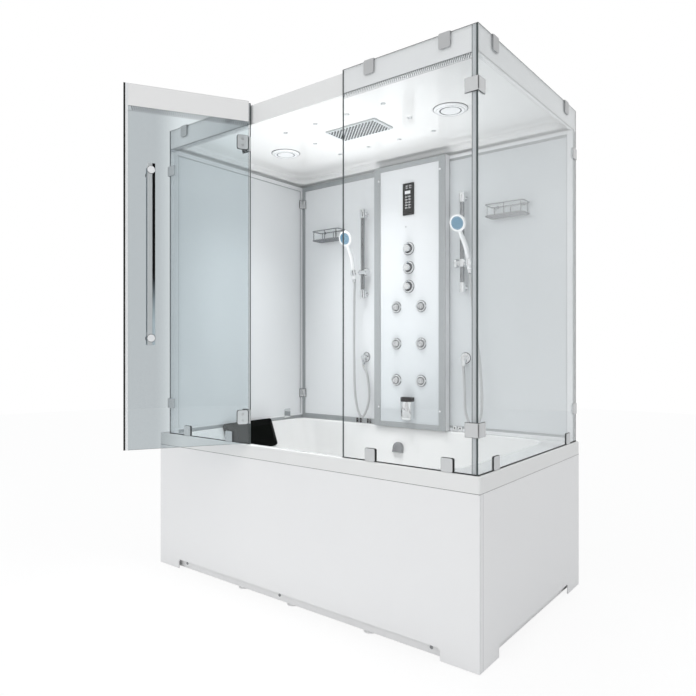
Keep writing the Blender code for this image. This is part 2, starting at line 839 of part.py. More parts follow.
def waste_trap():
    top = FLOOR_HEIGHT - SHELL_WALL - GAP
    bottom = top - TRAP_DEPTH
    bore = TRAP_RADIUS - TRAP_WALL
    under_flange = top - TRAP_FLANGE_HEIGHT
    cup = turned(
        "waste_trap",
        [
            (0.0, bottom + TRAP_WALL),
            (bore, bottom + TRAP_WALL),
            (bore, top),
            (TRAP_FLANGE, top),
            (TRAP_FLANGE, under_flange),
            (TRAP_RADIUS, under_flange),
            (TRAP_RADIUS, bottom),
            (0.0, bottom),
        ],
        at=(DRAIN_X, DRAIN_Y, 0.0),
    )
    outlet_z = bottom + TRAP_WALL + WASTE_PIPE
    inside = DRAIN_Y + TRAP_RADIUS - TRAP_WALL / 2
    outlet = rod("waste_pipe", (DRAIN_X, inside, outlet_z), (DRAIN_X, WASTE_END, outlet_z), WASTE_PIPE)
    outlet_bore = rod(
        "waste_bore",
        (DRAIN_X, DRAIN_Y, outlet_z),
        (DRAIN_X, WASTE_END + OVERRUN, outlet_z),
        WASTE_PIPE - TRAP_WALL,
    )
    place, up = overflow_place()
    out = up.cross(Vector((1, 0, 0)))
    start = place + out * (SHELL_WALL + GAP)
    behind = start.y + OVERFLOW_PIPE_BACK
    inlet_z = under_flange - OVERFLOW_PIPE - TRAP_WALL
    route = [
        start,
        start + out * OVERFLOW_PIPE_BACK,
        (OVERFLOW_X, behind, inlet_z + OVERFLOW_PIPE_BACK),
        (OVERFLOW_X, behind - OVERFLOW_PIPE_BACK, inlet_z),
        (OVERFLOW_X, DRAIN_Y + OVERFLOW_PIPE_BACK, inlet_z),
        (OVERFLOW_X + OVERFLOW_PIPE_BACK, DRAIN_Y, inlet_z),
        (DRAIN_X - TRAP_RADIUS + TRAP_WALL / 2, DRAIN_Y, inlet_z),
    ]
    pipe = tube("overflow_pipe", route, OVERFLOW_PIPE, 2)
    flange = rod("overflow_flange", start, start + out * TRAP_WALL, OVERFLOW_PIPE * 2)
    return finish(cut(join(cup, outlet, pipe, flange), outlet_bore), "grey")


def drain_plug():
    plug = turned(
        "drain_plug",
        [
            *[(PLUG_RADIUS * out, PLUG_HEIGHT * up) for out, up in PLUG_SHARES],
            (PLUG_RADIUS, GAP),
            (PLUG_STEM, GAP),
            (PLUG_STEM, -PLUG_STEM_LENGTH),
            (0.0, -PLUG_STEM_LENGTH),
        ],
    )
    carry(pivot("drain_plug_slide", (DRAIN_X, DRAIN_Y, FLOOR_HEIGHT)), plug)
    return finish(plug, "chrome")


def overflow_cover():
    half = COVER_WIDTH / 2
    edge = COVER_EDGE / 2
    steps = [
        (0.0, GAP),
        (0.0, COVER_DEPTH - COVER_EDGE),
        (edge / 2, COVER_DEPTH - edge),
        (COVER_EDGE, COVER_DEPTH),
    ]
    cover = loft("overflow_cover", [d_ring(half, COVER_HEIGHT, half, *step) for step in steps])
    hollow_steps = [(COVER_WALL, -OVERRUN), (COVER_WALL, COVER_DEPTH - COVER_WALL - COVER_EDGE / 2)]
    hollow = loft("cover_hollow", [d_ring(half, COVER_HEIGHT, half, *step) for step in hollow_steps])
    mouth = box(
        "cover_mouth",
        (-half + 2 * COVER_WALL, -OVERRUN, -OVERRUN),
        (half - 2 * COVER_WALL, COVER_WALL * 2, COVER_DEPTH - COVER_WALL - COVER_EDGE),
    )
    slits = []
    pitch = COVER_HEIGHT / (COVER_SLITS + 2)
    for i in range(COVER_SLITS):
        low = pitch * (i + 1)
        slits.append(
            box(
                f"cover_slit_{i}",
                (-half / 2, low, COVER_DEPTH / 2),
                (half / 2, low + COVER_WALL, COVER_DEPTH + OVERRUN),
            )
        )
    place, up = overflow_place()
    base = seat("overflow_seat", place - up * COVER_HEIGHT / 2, (1, 0, 0), up)
    cut(cover, hollow, mouth, *slits)
    carry(base, cover)
    return finish(cover, "chrome")


def pillow():
    half = PILLOW_WIDTH / 2
    rings = []
    for height, inset in CUSHION_SHARES:
        drawn = PILLOW_CROWN * inset
        rings.append(
            rounded_ring(
                -half + drawn,
                half - drawn,
                -PILLOW_LENGTH + drawn,
                -drawn,
                PILLOW_CORNER,
                PILLOW_SEAT + PILLOW_DEPTH * height,
            )
        )
    cushion = loft("pillow", rings)
    place, up = backrest_place()
    carry(seat("pillow_seat", place, (0, 1, 0), up), cushion)
    return finish(cushion, "foam")


def steam_generator():
    base = RAIL_BOTTOM + RAIL_HEIGHT - RAIL_STEP + GAP
    top = base + STEAM_HEIGHT
    x, _ = frame_reach()
    low = (x - STEAM_DEPTH, -STEAM_LENGTH / 2, base)
    case = box("steam_generator", low, (x, STEAM_LENGTH / 2, top), STEAM_EDGE)
    ports = []
    for i, side in enumerate((-1, 1)):
        place = (x - STEAM_DEPTH / 2, side * STEAM_LENGTH / 4)
        start, end = (*place, top - STEAM_EDGE), (*place, top + STEAM_PORT_LENGTH)
        ports.append(rod(f"steam_port_{i}", start, end, STEAM_PORT))
    return finish(join(case, *ports), "satin")


# Glass walls and what holds them

def glass_hole(name, place, axis, radius):
    """A hole through one glass wall for a screw boss."""
    reach = Vector(axis) * (GLASS + OVERRUN)
    return hole(name, Vector(place) - reach, Vector(place) + reach, radius, COARSE_SIDES)


def bottom_clamp(name, along, across, out):
    """A block round the bottom edge of a glass wall. along and out are unit directions."""
    along, out = Vector(along), Vector(out)
    middle = along * across
    side = along * (CLIP_WIDTH / 2)
    front = out * (GLASS / 2 + CLIP_PLATE)
    low = middle - side - front
    high = middle + side + front
    low, high = (Vector(map(min, low, high)), Vector(map(max, low, high)))
    low.z, high.z = FRAME_BASE, FRAME_BASE + CLAMP_SIZE
    axis = "Y" if abs(out.y) > abs(out.x) else "X"
    return box(name, low, high, CLIP_CORNER, axis)


def moved(obj, offset):
    obj.data.transform(Matrix.Translation(offset))
    return obj


def front_left_glass():
    left, middle = -TUB_X + LEFT_GLASS_END, (GLASS_FRONT + GLASS_BACK) / 2
    pane = box("front_left_glass", (left, GLASS_FRONT, FRAME_BASE), (DOOR_LEFT, GLASS_BACK, UNIT_HEIGHT))
    clamps = []
    for i, offset in enumerate(BOTTOM_CLAMPS_LEFT):
        clamp = bottom_clamp(f"front_left_foot_{i}", (1, 0, 0), left + offset, (0, 1, 0))
        clamps.append(moved(clamp, (0, middle, 0)))
    holes = []
    for i, height in enumerate(CLAMP_HEIGHTS):
        place = (WALL_LEFT + CLAMP_SIZE / 2, middle, height)
        holes.append(glass_hole(f"left_clamp_hole_{i}", place, (0, 1, 0), CLAMP_BOSS))
    for i, height in enumerate(HINGE_HEIGHTS):
        for j, side in enumerate((-1, 1)):
            x = HINGE_X - HINGE_TONGUE - HINGE_LEAF / 2
            place = (x, middle, height + side * HINGE_SCREW_Z)
            holes.append(glass_hole(f"hinge_hole_{i}_{j}", place, (0, 1, 0), HINGE_SCREW))
    return finish(cut(join(pane, *clamps), *holes), "glass")


def front_right_glass():
    right, middle = SIDE_INNER - GAP, (GLASS_FRONT + GLASS_BACK) / 2
    pane = box("front_right_glass", (DOOR_RIGHT, GLASS_FRONT, FRAME_BASE), (right, GLASS_BACK, UNIT_HEIGHT))
    clamps = []
    for i, offset in enumerate(BOTTOM_CLAMPS_RIGHT):
        clamp = bottom_clamp(f"front_right_foot_{i}", (1, 0, 0), right - offset, (0, 1, 0))
        clamps.append(moved(clamp, (0, middle, 0)))
    holes = []
    for i, height in enumerate(CLAMP_HEIGHTS):
        place = (SIDE_OUTER - CLAMP_SIZE / 2, middle, height)
        holes.append(glass_hole(f"right_clamp_hole_{i}", place, (0, 1, 0), CLAMP_BOSS))
    return finish(cut(join(pane, *clamps), *holes), "glass")


def side_glass():
    middle = (SIDE_INNER + SIDE_OUTER) / 2
    pane = box("side_glass", (SIDE_INNER, GLASS_FRONT, FRAME_BASE), (SIDE_OUTER, WALL_BACK, UNIT_HEIGHT))
    clamps = []
    for i, offset in enumerate(BOTTOM_CLAMPS_SIDE):
        clamp = bottom_clamp(f"side_foot_{i}", (0, 1, 0), GLASS_FRONT + offset, (1, 0, 0))
        clamps.append(moved(clamp, (middle, 0, 0)))
    holes = []
    for i, height in enumerate(CLAMP_HEIGHTS):
        for j, y in enumerate((GLASS_FRONT + CLAMP_SIZE / 2, WALL_BACK - FRAME_DEPTH / 2)):
            holes.append(glass_hole(f"side_hole_{i}_{j}", (middle, y, height), (1, 0, 0), CLAMP_BOSS))
    return finish(cut(join(pane, *clamps), *holes), "glass")


def right_corner_clamp(name, height):
    low, high = height - CLAMP_SIZE / 2, height + CLAMP_SIZE / 2
    outer_x, outer_y = SIDE_OUTER + GAP + CLIP_PLATE, GLASS_FRONT - GAP - CLIP_PLATE
    left, back = SIDE_OUTER - CLAMP_SIZE, GLASS_FRONT + CLAMP_SIZE
    inner_x, inner_y = SIDE_INNER - GAP, GLASS_BACK + GAP
    clamp = box(name, (left, outer_y, low), (outer_x, GLASS_FRONT - GAP, high), CLAMP_EDGE)
    side = box(
        name + "_side", (SIDE_OUTER + GAP, outer_y, low), (outer_x, back, high), CLAMP_EDGE
    )
    inner = box(name + "_inner", (left, inner_y, low), (inner_x, inner_y + CLIP_PLATE, high))
    inner_side = box(name + "_inner_side", (inner_x - CLIP_PLATE, inner_y, low), (inner_x, back, high))
    boss_x, boss_y = SIDE_OUTER - CLAMP_SIZE / 2, GLASS_FRONT + CLAMP_SIZE / 2
    half = CLIP_PLATE / 2
    start, end = (boss_x, outer_y + half, height), (boss_x, inner_y + half, height)
    front_boss = rod(name + "_boss", start, end, CLAMP_BOSS, COARSE_SIDES)
    start, end = (outer_x - half, boss_y, height), (inner_x - half, boss_y, height)
    side_boss = rod(name + "_side_boss", start, end, CLAMP_BOSS, COARSE_SIDES)
    return finish(join(clamp, side, inner, inner_side, front_boss, side_boss), "satin")


def left_corner_clamp(name, height):
    low, high = height - CLAMP_SIZE / 2, height + CLAMP_SIZE / 2
    outer_x, outer_y = WALL_LEFT - GAP - CLIP_PLATE, GLASS_FRONT - GAP - CLIP_PLATE
    right, back = WALL_LEFT + CLAMP_SIZE, GLASS_FRONT + CLAMP_SIZE
    clamp = box(name, (outer_x, outer_y, low), (right, GLASS_FRONT - GAP, high), CLAMP_EDGE)
    side = box(name + "_side", (outer_x, outer_y, low), (WALL_LEFT - GAP, back, high), CLAMP_EDGE)
    boss_x = WALL_LEFT + CLAMP_SIZE / 2
    start, end = (boss_x, outer_y + CLIP_PLATE / 2, height), (boss_x, GLASS_BACK + CLAMP_SCREW, height)
    boss = rod(name + "_boss", start, end, CLAMP_BOSS, COARSE_SIDES)
    return finish(join(clamp, side, boss), "satin")


def left_wall_frame():
    front, back = GLASS_BACK + GAP, FRAME_FACE - GAP
    frame = box("left_wall_frame", (WALL_LEFT, front, FRAME_BASE), (LEFT_FACE, back, FRAME_TOP))
    window = box(
        "left_window",
        (WALL_LEFT - OVERRUN, front + FRAME_POST, FRAME_BASE + FRAME_RAIL),
        (LEFT_FACE + OVERRUN, back - FRAME_CORNER_POST, FRAME_TOP - FRAME_RAIL),
    )
    holes = []
    for i, height in enumerate(CLAMP_HEIGHTS):
        x = WALL_LEFT + CLAMP_SIZE / 2
        start, end = (x, front - OVERRUN, height), (x, GLASS_BACK + CLAMP_SCREW + GAP, height)
        holes.append(hole(f"frame_hole_{i}", start, end, CLAMP_BOSS, COARSE_SIDES))
    return finish(cut(frame, window, *holes), "aluminium")


def left_wall_panel():
    front, back = GLASS_BACK + GAP + FRAME_POST, FRAME_FACE - GAP - FRAME_CORNER_POST
    face = LEFT_FACE - PANEL_RECESS
    panel = box(
        "left_wall_panel",
        (face - PANEL, front + GAP, FRAME_BASE + FRAME_RAIL + GAP),
        (face, back - GAP, FRAME_TOP - FRAME_RAIL - GAP),
    )
    return finish(panel, "panel")


def back_bays():
    """The left and right ends of the back frame's three open bays."""
    right_end = SIDE_INNER - GAP
    return (
        (LEFT_FACE + FRAME_CORNER_POST, COLUMN_LEFT),
        (COLUMN_LEFT + HIDDEN_POST, COLUMN_RIGHT - HIDDEN_POST),
        (COLUMN_RIGHT, right_end - FRAME_POST),
    )


def rear_clamp(name, height):
    """Holds the side glass to the back frame with a boss through the glass."""
    low, high = height - CLAMP_SIZE / 2, height + CLAMP_SIZE / 2
    inner = SIDE_OUTER + GAP
    plate = box(
        name, (inner, WALL_BACK - CLAMP_SIZE, low), (inner + CLIP_PLATE, WALL_BACK, high), CLAMP_EDGE
    )
    y = WALL_BACK - FRAME_DEPTH / 2
    start, end = (inner + CLIP_PLATE / 2, y, height), (SIDE_INNER - OVERRUN, y, height)
    return [plate, rod(name + "_boss", start, end, CLAMP_BOSS, COARSE_SIDES)]


def wall_clamp(name, height):
    """The angle in the back left corner that pulls the two wall frames together."""
    low, high = height - CLAMP_SIZE / 2, height + CLAMP_SIZE / 2
    left, front = LEFT_FACE + GAP, FRAME_FACE - CLIP_PLATE
    arm = box(name, (left, FRAME_FACE - INNER_CLAMP, low), (left + CLIP_PLATE, FRAME_FACE, high))
    back = box(
        name + "_back", (left, front, low), (left + INNER_CLAMP, FRAME_FACE + PANEL_RECESS / 2, high)
    )
    return [arm, back]


def back_wall_frame():
    right = SIDE_INNER - GAP
    frame = box("back_wall_frame", (WALL_LEFT, FRAME_FACE, FRAME_BASE), (right, WALL_BACK, FRAME_TOP))
    windows = []
    for i, (start, end) in enumerate(back_bays()):
        windows.append(
            box(
                f"back_window_{i}",
                (start, FRAME_FACE - OVERRUN, FRAME_BASE + FRAME_RAIL),
                (end, WALL_BACK + OVERRUN, FRAME_TOP - FRAME_RAIL),
            )
        )
    clamps = []
    for i, height in enumerate(CLAMP_HEIGHTS):
        clamps += rear_clamp(f"rear_clamp_{i}", height) + wall_clamp(f"wall_clamp_{i}", height)
    return finish(join(cut(frame, *windows), *clamps), "aluminium")


def back_panel(name, bay):
    start, end = back_bays()[bay]
    panel = box(
        name,
        (start + GAP, PANEL_FACE, FRAME_BASE + FRAME_RAIL + GAP),
        (end - GAP, PANEL_FACE + PANEL, FRAME_TOP - FRAME_RAIL - GAP),
    )
    return finish(panel, "panel")


# Roof and its fittings

def roof_edges():
    return WALL_LEFT, SIDE_INNER - ROOF_CLEARANCE, GLASS_BACK + ROOF_CLEARANCE, WALL_BACK


def roof_ring(inset, height):
    left, right, front, back = roof_edges()
    corner = ROOF_CORNER + inset
    sides = left + inset, right - inset, front + inset, back - inset
    return rounded_ring(*sides, corner, height, CORNER_STEPS - 1)


def roof_clip(name, place, along, inward):
    """A hook over the top edge of a glass wall, fixed to the roof's side."""
    along, inward = Vector(along), Vector(inward)
    top = UNIT_HEIGHT + GAP + CLIP_BRIDGE
    start = -GAP - CLIP_PLATE
    end = GLASS + ROOF_CLEARANCE + ROOF_WALL / 2

    def block(part, depths, heights, corner=0.0):
        low = place + along * (-CLIP_WIDTH / 2) + inward * depths[0]
        high = place + along * (CLIP_WIDTH / 2) + inward * depths[1]
        low, high = Vector(map(min, low, high)), Vector(map(max, low, high))
        low.z, high.z = heights
        axis = "Y" if inward.y else "X"
        return box(name + part, low, high, corner, axis)

    return [
        block("_plate", (start, -GAP), (top - CLIP_DROP, top), CLIP_CORNER / 2),
        block("_bridge", (start / 2, end), (UNIT_HEIGHT + GAP, top)),
        block("_web", (GLASS + GAP, end), (ROOF_TOP - CLIP_BRIDGE, top)),
    ]


def roof():
    rise, width = CEILING - ROOF_BOTTOM, CORNICE_WIDTH
    rings = [
        roof_ring(width * inward, ROOF_BOTTOM + rise * upward)
        for inward, upward in reversed(CORNICE_SHARES)
    ]
    rings += [
        roof_ring(0.0, ROOF_TOP),
        roof_ring(ROOF_WALL, ROOF_TOP),
        roof_ring(ROOF_WALL, CEILING + ROOF_WALL),
    ]
    shell = loft("roof", rings)
    clips = []
    right, left = SIDE_INNER - GAP, -TUB_X + LEFT_GLASS_END
    for i, offset in enumerate(FRONT_RIGHT_CLIPS):
        place = Vector((right - offset, GLASS_FRONT, 0))
        clips += roof_clip(f"right_clip_{i}", place, (1, 0, 0), (0, 1, 0))
    for i, offset in enumerate(FRONT_LEFT_CLIPS):
        place = Vector((left + offset, GLASS_FRONT, 0))
        clips += roof_clip(f"left_clip_{i}", place, (1, 0, 0), (0, 1, 0))
    for i, offset in enumerate(SIDE_CLIPS):
        place = Vector((SIDE_OUTER, GLASS_FRONT + offset, 0))
        clips += roof_clip(f"side_clip_{i}", place, (0, 1, 0), (-1, 0, 0))
    holes = []
    fittings = ((RAIN_X, RAIN_Y, RAIN_INLET), (SPEAKER_X, 0, FIXTURE_NECK), (LIGHT_X, 0, FIXTURE_NECK))
    for i, (x, y, radius) in enumerate(fittings):
        start, end = (x, y, CEILING - OVERRUN), (x, y, CEILING + ROOF_WALL + OVERRUN)
        holes.append(hole(f"roof_hole_{i}", start, end, radius))
    return finish(cut(join(shell, *clips), *holes), "acrylic")


def rain_shower_head():
    low = (RAIN_X - RAIN_LENGTH / 2, RAIN_Y - RAIN_WIDTH / 2, CEILING - GAP - RAIN_DEPTH)
    high = (RAIN_X + RAIN_LENGTH / 2, RAIN_Y + RAIN_WIDTH / 2, CEILING - GAP)
    plate = box("rain_shower_head", low, high, RAIN_EDGE)
    end = CEILING + ROOF_WALL + RAIN_INLET_HEIGHT
    inlet = rod("rain_inlet", (RAIN_X, RAIN_Y, high[2] - RAIN_EDGE), (RAIN_X, RAIN_Y, end), RAIN_INLET)
    return finish(join(plate, inlet), "chrome")


def ceiling_fixture(name, x, material):
    bottom = CEILING - GAP - FIXTURE_DEPTH
    rim = CEILING - GAP
    profile = [
        (0.0, CEILING + FIXTURE_NECK_HEIGHT),
        (FIXTURE_NECK, CEILING + FIXTURE_NECK_HEIGHT),
        (FIXTURE_NECK, rim),
        (FIXTURE_RADIUS, rim),
        (FIXTURE_RADIUS, rim - FIXTURE_DEPTH / 3),
        (FIXTURE_RADIUS - FIXTURE_LIP, bottom),
        (FIXTURE_INNER + FIXTURE_LIP, bottom),
        (FIXTURE_INNER, bottom + FIXTURE_DEPTH / 2),
        (FIXTURE_INNER - FIXTURE_LIP / 2, bottom),
        (0.0, bottom),
    ]
    return finish(turned(name, profile, at=(x, 0, 0)), material)


# Door, made round its hinge axis as it is when shut

def hinge_half(name, sign):
    """A pair of plates either side of the glass, their screw bosses and their share of the knuckles."""
    start, end = sign * HINGE_TONGUE, sign * (HINGE_TONGUE + HINGE_LEAF)
    front, back = HINGE_FRONT - GAP, HINGE_FRONT + GLASS + GAP
    half, third = HINGE_HEIGHT / 2, HINGE_HEIGHT / 3
    left, right = min(start, end), max(start, end)
    plate = box(name, (left, front - HINGE_PLATE, -half), (right, front, half), HINGE_TONGUE, "Y")
    inner = box(
        name + "_inner", (left, back, -half), (right, back + HINGE_PLATE, half), HINGE_TONGUE, "Y"
    )
    pieces = [inner]
    x = sign * (HINGE_TONGUE + HINGE_LEAF / 2)
    for i, z in enumerate((-HINGE_SCREW_Z, HINGE_SCREW_Z)):
        outer, deep = (x, front - HINGE_PLATE / 2, z), (x, back + HINGE_PLATE / 2, z)
        pieces.append(rod(f"{name}_boss_{i}", outer, deep, HINGE_SCREW, COARSE_SIDES))
    if sign > 0:
        spans = [(-third / 2 + HINGE_PLAY, third / 2 - HINGE_PLAY)]
    else:
        spans = [(-half, -third / 2), (third / 2, half)]
    reach = sign * (HINGE_TONGUE + HINGE_PLATE)
    for i, (low, high) in enumerate(spans):
        corner = (min(0.0, reach), front - HINGE_PLATE, low)
        pieces.append(box(f"{name}_tongue_{i}", corner, (max(0.0, reach), front, high)))
        start, end = (0, 0, low), (0, 0, high)
        pieces.append(rod(f"{name}_knuckle_{i}", start, end, HINGE_BARREL, COARSE_SIDES))
    if sign > 0:
        pin = rod(name + "_pin", (0, 0, -half - GAP), (0, 0, half + GAP), HINGE_PIN, COARSE_SIDES)
        return finish(join(plate, *pieces, pin), "satin")
    start, end = (0, 0, -half - OVERRUN), (0, 0, half + OVERRUN)
    bore = hole(name + "_bore", start, end, HINGE_PIN, COARSE_SIDES)
    return finish(cut(join(plate, *pieces), bore), "satin")


def door_glass():
    back = HINGE_FRONT + GLASS
    end = DOOR_LENGTH - 2 * SEAL_WALL
    pane = box("door_glass", (DOOR_START, HINGE_FRONT, RIM_HEIGHT + DOOR_GAP), (end, back, UNIT_HEIGHT))
    middle = (HINGE_FRONT + back) / 2
    holes = []
    for i, height in enumerate(HINGE_HEIGHTS):
        for j, side in enumerate((-1, 1)):
            place = (HINGE_TONGUE + HINGE_LEAF / 2, middle, height + side * HINGE_SCREW_Z)
            holes.append(glass_hole(f"door_hinge_hole_{i}_{j}", place, (0, 1, 0), HINGE_SCREW))
    for i, side in enumerate((-1, 1)):
        place = (DOOR_LENGTH - HANDLE_INSET, middle, handle_post_height(side))
        holes.append(glass_hole(f"door_handle_hole_{i}", place, (0, 1, 0), HANDLE_POST))
    return finish(cut(pane, *holes), "glass")


def handle_post_height(side):
    return HANDLE_HEIGHT + side * (HANDLE_LENGTH / 2 - HANDLE_POST_INSET)


def door_handle():
    x = DOOR_LENGTH - HANDLE_INSET
    half = HANDLE_WIDTH / 2
    low, high = HANDLE_HEIGHT - HANDLE_LENGTH / 2, HANDLE_HEIGHT + HANDLE_LENGTH / 2
    front = HINGE_FRONT - HANDLE_STANDOFF
    back = HINGE_FRONT + GLASS + HANDLE_STANDOFF
    edge = HANDLE_THICKNESS / 6
    bar = box(
        "door_handle", (x - half, front - HANDLE_THICKNESS, low), (x + half, front, high), edge
    )
    inner = box("inner_bar", (x - half, back, low), (x + half, back + HANDLE_THICKNESS, high), edge)
    posts = []
    for i, side in enumerate((-1, 1)):
        z = handle_post_height(side)
        start, end = (x, front - HANDLE_THICKNESS / 2, z), (x, back + HANDLE_THICKNESS / 2, z)
        posts.append(rod(f"handle_post_{i}", start, end, HANDLE_POST, COARSE_SIDES))
        for j, (near, far) in enumerate(
            (
                (HINGE_FRONT - GAP - HINGE_PLATE, HINGE_FRONT - GAP),
                (HINGE_FRONT + GLASS + GAP, HINGE_FRONT + GLASS + GAP + HINGE_PLATE),
            )
        ):
            posts.append(rod(f"handle_rose_{i}_{j}", (x, near, z), (x, far, z), HANDLE_ROSE, JET_SIDES))
    return finish(join(bar, inner, *posts), "satin")


def door_seal():
    front, back = HINGE_FRONT - GAP, HINGE_FRONT + GLASS + GAP
    low, high = RIM_HEIGHT + DOOR_GAP, UNIT_HEIGHT
    start, glass_end = DOOR_LENGTH - SEAL_GRIP, DOOR_LENGTH - 2 * SEAL_WALL
    strip = box("door_seal", (start, front - SEAL_WALL, low), (DOOR_LENGTH, back + SEAL_WALL, high))
    slot = box(
        "seal_slot",
        (start - OVERRUN, front, low - OVERRUN),
        (glass_end + GAP, back, high + OVERRUN),
    )
    return finish(cut(strip, slot), "rubber")


def door():
    axis = pivot("door_hinge", (HINGE_X, HINGE_Y, 0), (0, 0, -math.radians(DOOR_REST)))
    carry(axis, door_glass(), door_handle(), door_seal())
    for name, height in zip(("upper", "lower"), HINGE_HEIGHTS):
        level = pivot(f"{name}_hinge_leaf_place", (0, 0, height), parent=axis)
        carry(level, hinge_half(f"{name}_hinge_leaf", 1))
        fixed = pivot(f"{name}_hinge_block_place", (HINGE_X, HINGE_Y, height))
        carry(fixed, hinge_half(f"{name}_hinge_block", -1))


# Column with its controls

def column_frame():
    base, top = FRAME_BASE, FRAME_TOP
    back = FRAME_FACE - GAP
    frame = box("column_frame", (COLUMN_LEFT, COLUMN_FRONT, base), (COLUMN_RIGHT, back, top))
    pocket = box(
        "column_pocket",
        (COLUMN_LEFT + COLUMN_WALL, COLUMN_FRONT + COLUMN_WALL, base + COLUMN_WALL),
        (COLUMN_RIGHT - COLUMN_WALL, back + OVERRUN, top - COLUMN_WALL),
    )
    window = box(
        "column_window",
        (COLUMN_LEFT + COLUMN_STILE, COLUMN_FRONT - OVERRUN, base + COLUMN_BAR),
        (COLUMN_RIGHT - COLUMN_STILE, COLUMN_FRONT + 2 * COLUMN_WALL, top - COLUMN_BAR),
    )
    return finish(cut(frame, pocket, window), "aluminium")


def jet_places():
    return [(COLUMN_X + side * JET_OFFSET, height) for height in JET_HEIGHTS for side in (-1, 1)]


def through_panel(name, x, z, radius, sides=COARSE_SIDES, turn=0.5):
    start, end = (x, COLUMN_FACE - 2 * OVERRUN, z), (x, COLUMN_FACE + PANEL + OVERRUN, z)
    return hole(name, start, end, radius, sides, turn)


def column_panel():
    edge = COLUMN_WALL + GAP
    panel = box(
        "column_panel",
        (COLUMN_LEFT + edge, COLUMN_FACE, FRAME_BASE + edge),
        (COLUMN_RIGHT - edge, COLUMN_FACE + PANEL, FRAME_TOP - edge),
    )
    profile = [
        (0.0, JET_RING_HEIGHT),
        (JET_RING - JET_EDGE, JET_RING_HEIGHT),
        (JET_RING, JET_RING_HEIGHT - JET_EDGE),
        (JET_RING, -PANEL / 2),
        (0.0, -PANEL / 2),
    ]
    rings, holes = [], []
    for i, (x, z) in enumerate(jet_places()):
        place = (x, COLUMN_FACE, z)
        rings.append(turned(f"jet_ring_{i}", profile, direction=(0, -1, 0), at=place))
        holes.append(through_panel(f"jet_bore_{i}", x, z, JET_BALL, JET_SIDES, JET_TURN))
    for i, z in enumerate(KNOB_HEIGHTS):
        holes.append(through_panel(f"knob_hole_{i}", COLUMN_X, z, KNOB_STEM))
    holes.append(through_panel("pad_hole", COLUMN_X, PAD_Z, PAD_BOSS))
    outlet_z = OUTLET_BOTTOM + OUTLET_HEIGHT / 2
    holes.append(through_panel("outlet_hole", COLUMN_X, outlet_z, OUTLET_SPIGOT))
    return finish(cut(join(panel, *rings), *holes), "panel")


def control_pad():
    front, back = COLUMN_FACE - GAP - PAD_DEPTH, COLUMN_FACE - GAP
    low = (COLUMN_X - PAD_WIDTH / 2, front, PAD_Z - PAD_HEIGHT / 2)
    high = (COLUMN_X + PAD_WIDTH / 2, back, PAD_Z + PAD_HEIGHT / 2)
    pad = box("control_pad", low, high, PAD_DEPTH / 4)
    start, end = (COLUMN_X, back - PAD_DEPTH / 2, PAD_Z), (COLUMN_X, COLUMN_FACE + 2 * PANEL, PAD_Z)
    return finish(join(pad, rod("pad_boss", start, end, PAD_BOSS)), "black")


def control_knob(name, height):
    profile = [
        (0.0, KNOB_REACH),
        (KNOB_CAP - SMALL_EDGE, KNOB_REACH),
        (KNOB_CAP, KNOB_REACH - SMALL_EDGE),
        (KNOB_CAP, KNOB_RING_HEIGHT),
        (KNOB_RING - 2 * SMALL_EDGE, KNOB_RING_HEIGHT),
        (KNOB_RING, KNOB_RING_HEIGHT - SMALL_EDGE),
        (KNOB_RING, GAP),
        (KNOB_STEM, GAP),
        (KNOB_STEM, -KNOB_STEM_LENGTH),
        (0.0, -KNOB_STEM_LENGTH),
    ]
    knob = turned(name, profile)
    start, end = (0, KNOB_RING, GAP - SINK), (0, KNOB_RING, KNOB_RING_HEIGHT + SINK)
    notch = rod(name + "_notch", start, end, KNOB_NOTCH, COARSE_SIDES)
    cut(knob, notch)
    carry(pivot(name + "_axis", (COLUMN_X, COLUMN_FACE, height), (math.pi / 2, 0, 0)), knob)
    return finish(knob, "chrome")


def jet_nozzle(name, x, z):
    bend = math.asin(JET_FACE / JET_BALL)
    ball = []
    for step in range(ARC_STEPS + 1):
        angle = bend - 2 * bend * step / ARC_STEPS
        ball.append((JET_BALL * math.cos(angle), JET_BALL * math.sin(angle)))
    lip = ball[0][0] + GAP
    profile = [
        (0.0, JET_REACH),
        (lip - JET_EDGE / 2, JET_REACH),
        (lip, JET_REACH - JET_EDGE / 2),
        (lip, JET_FACE),
        *ball,
        (0.0, -JET_FACE),
    ]
    nozzle = turned(name, profile, JET_SIDES)
    carry(pivot(name + "_ball", (x, COLUMN_FACE, z), (math.pi / 2, 0, 0)), nozzle)
    return finish(nozzle, "satin")


def steam_outlet():
    half, back = OUTLET_WIDTH / 2, COLUMN_FACE - GAP
    levels = (
        (OUTLET_TAPER, 0.0),
        (OUTLET_TAPER / 3, OUTLET_TAPER / 2),
        (0.0, 2 * OUTLET_TAPER),
        (0.0, OUTLET_HEIGHT),
    )

    def ring(inset, height, wall=0.0):
        points = d_ring(half - inset, OUTLET_DEPTH - inset, OUTLET_CORNER - inset, wall, height)
        return [Vector((COLUMN_X + p.x, back - p.y, OUTLET_BOTTOM + p.z)) for p in points]

    body = loft("steam_outlet", [ring(*level) for level in levels])
    z = OUTLET_BOTTOM + OUTLET_HEIGHT / 2
    start, end = (COLUMN_X, back - OUTLET_TAPER, z), (COLUMN_X, COLUMN_FACE + 2 * PANEL, z)
    spigot = rod("outlet_spigot", start, end, OUTLET_SPIGOT)
    pocket_ends = (OUTLET_HEIGHT - OUTLET_TAPER, OUTLET_HEIGHT + OVERRUN)
    pocket = loft("outlet_pocket", [ring(COLUMN_WALL, end, COLUMN_WALL) for end in pocket_ends])
    return finish(cut(join(body, spigot), pocket), "chrome")


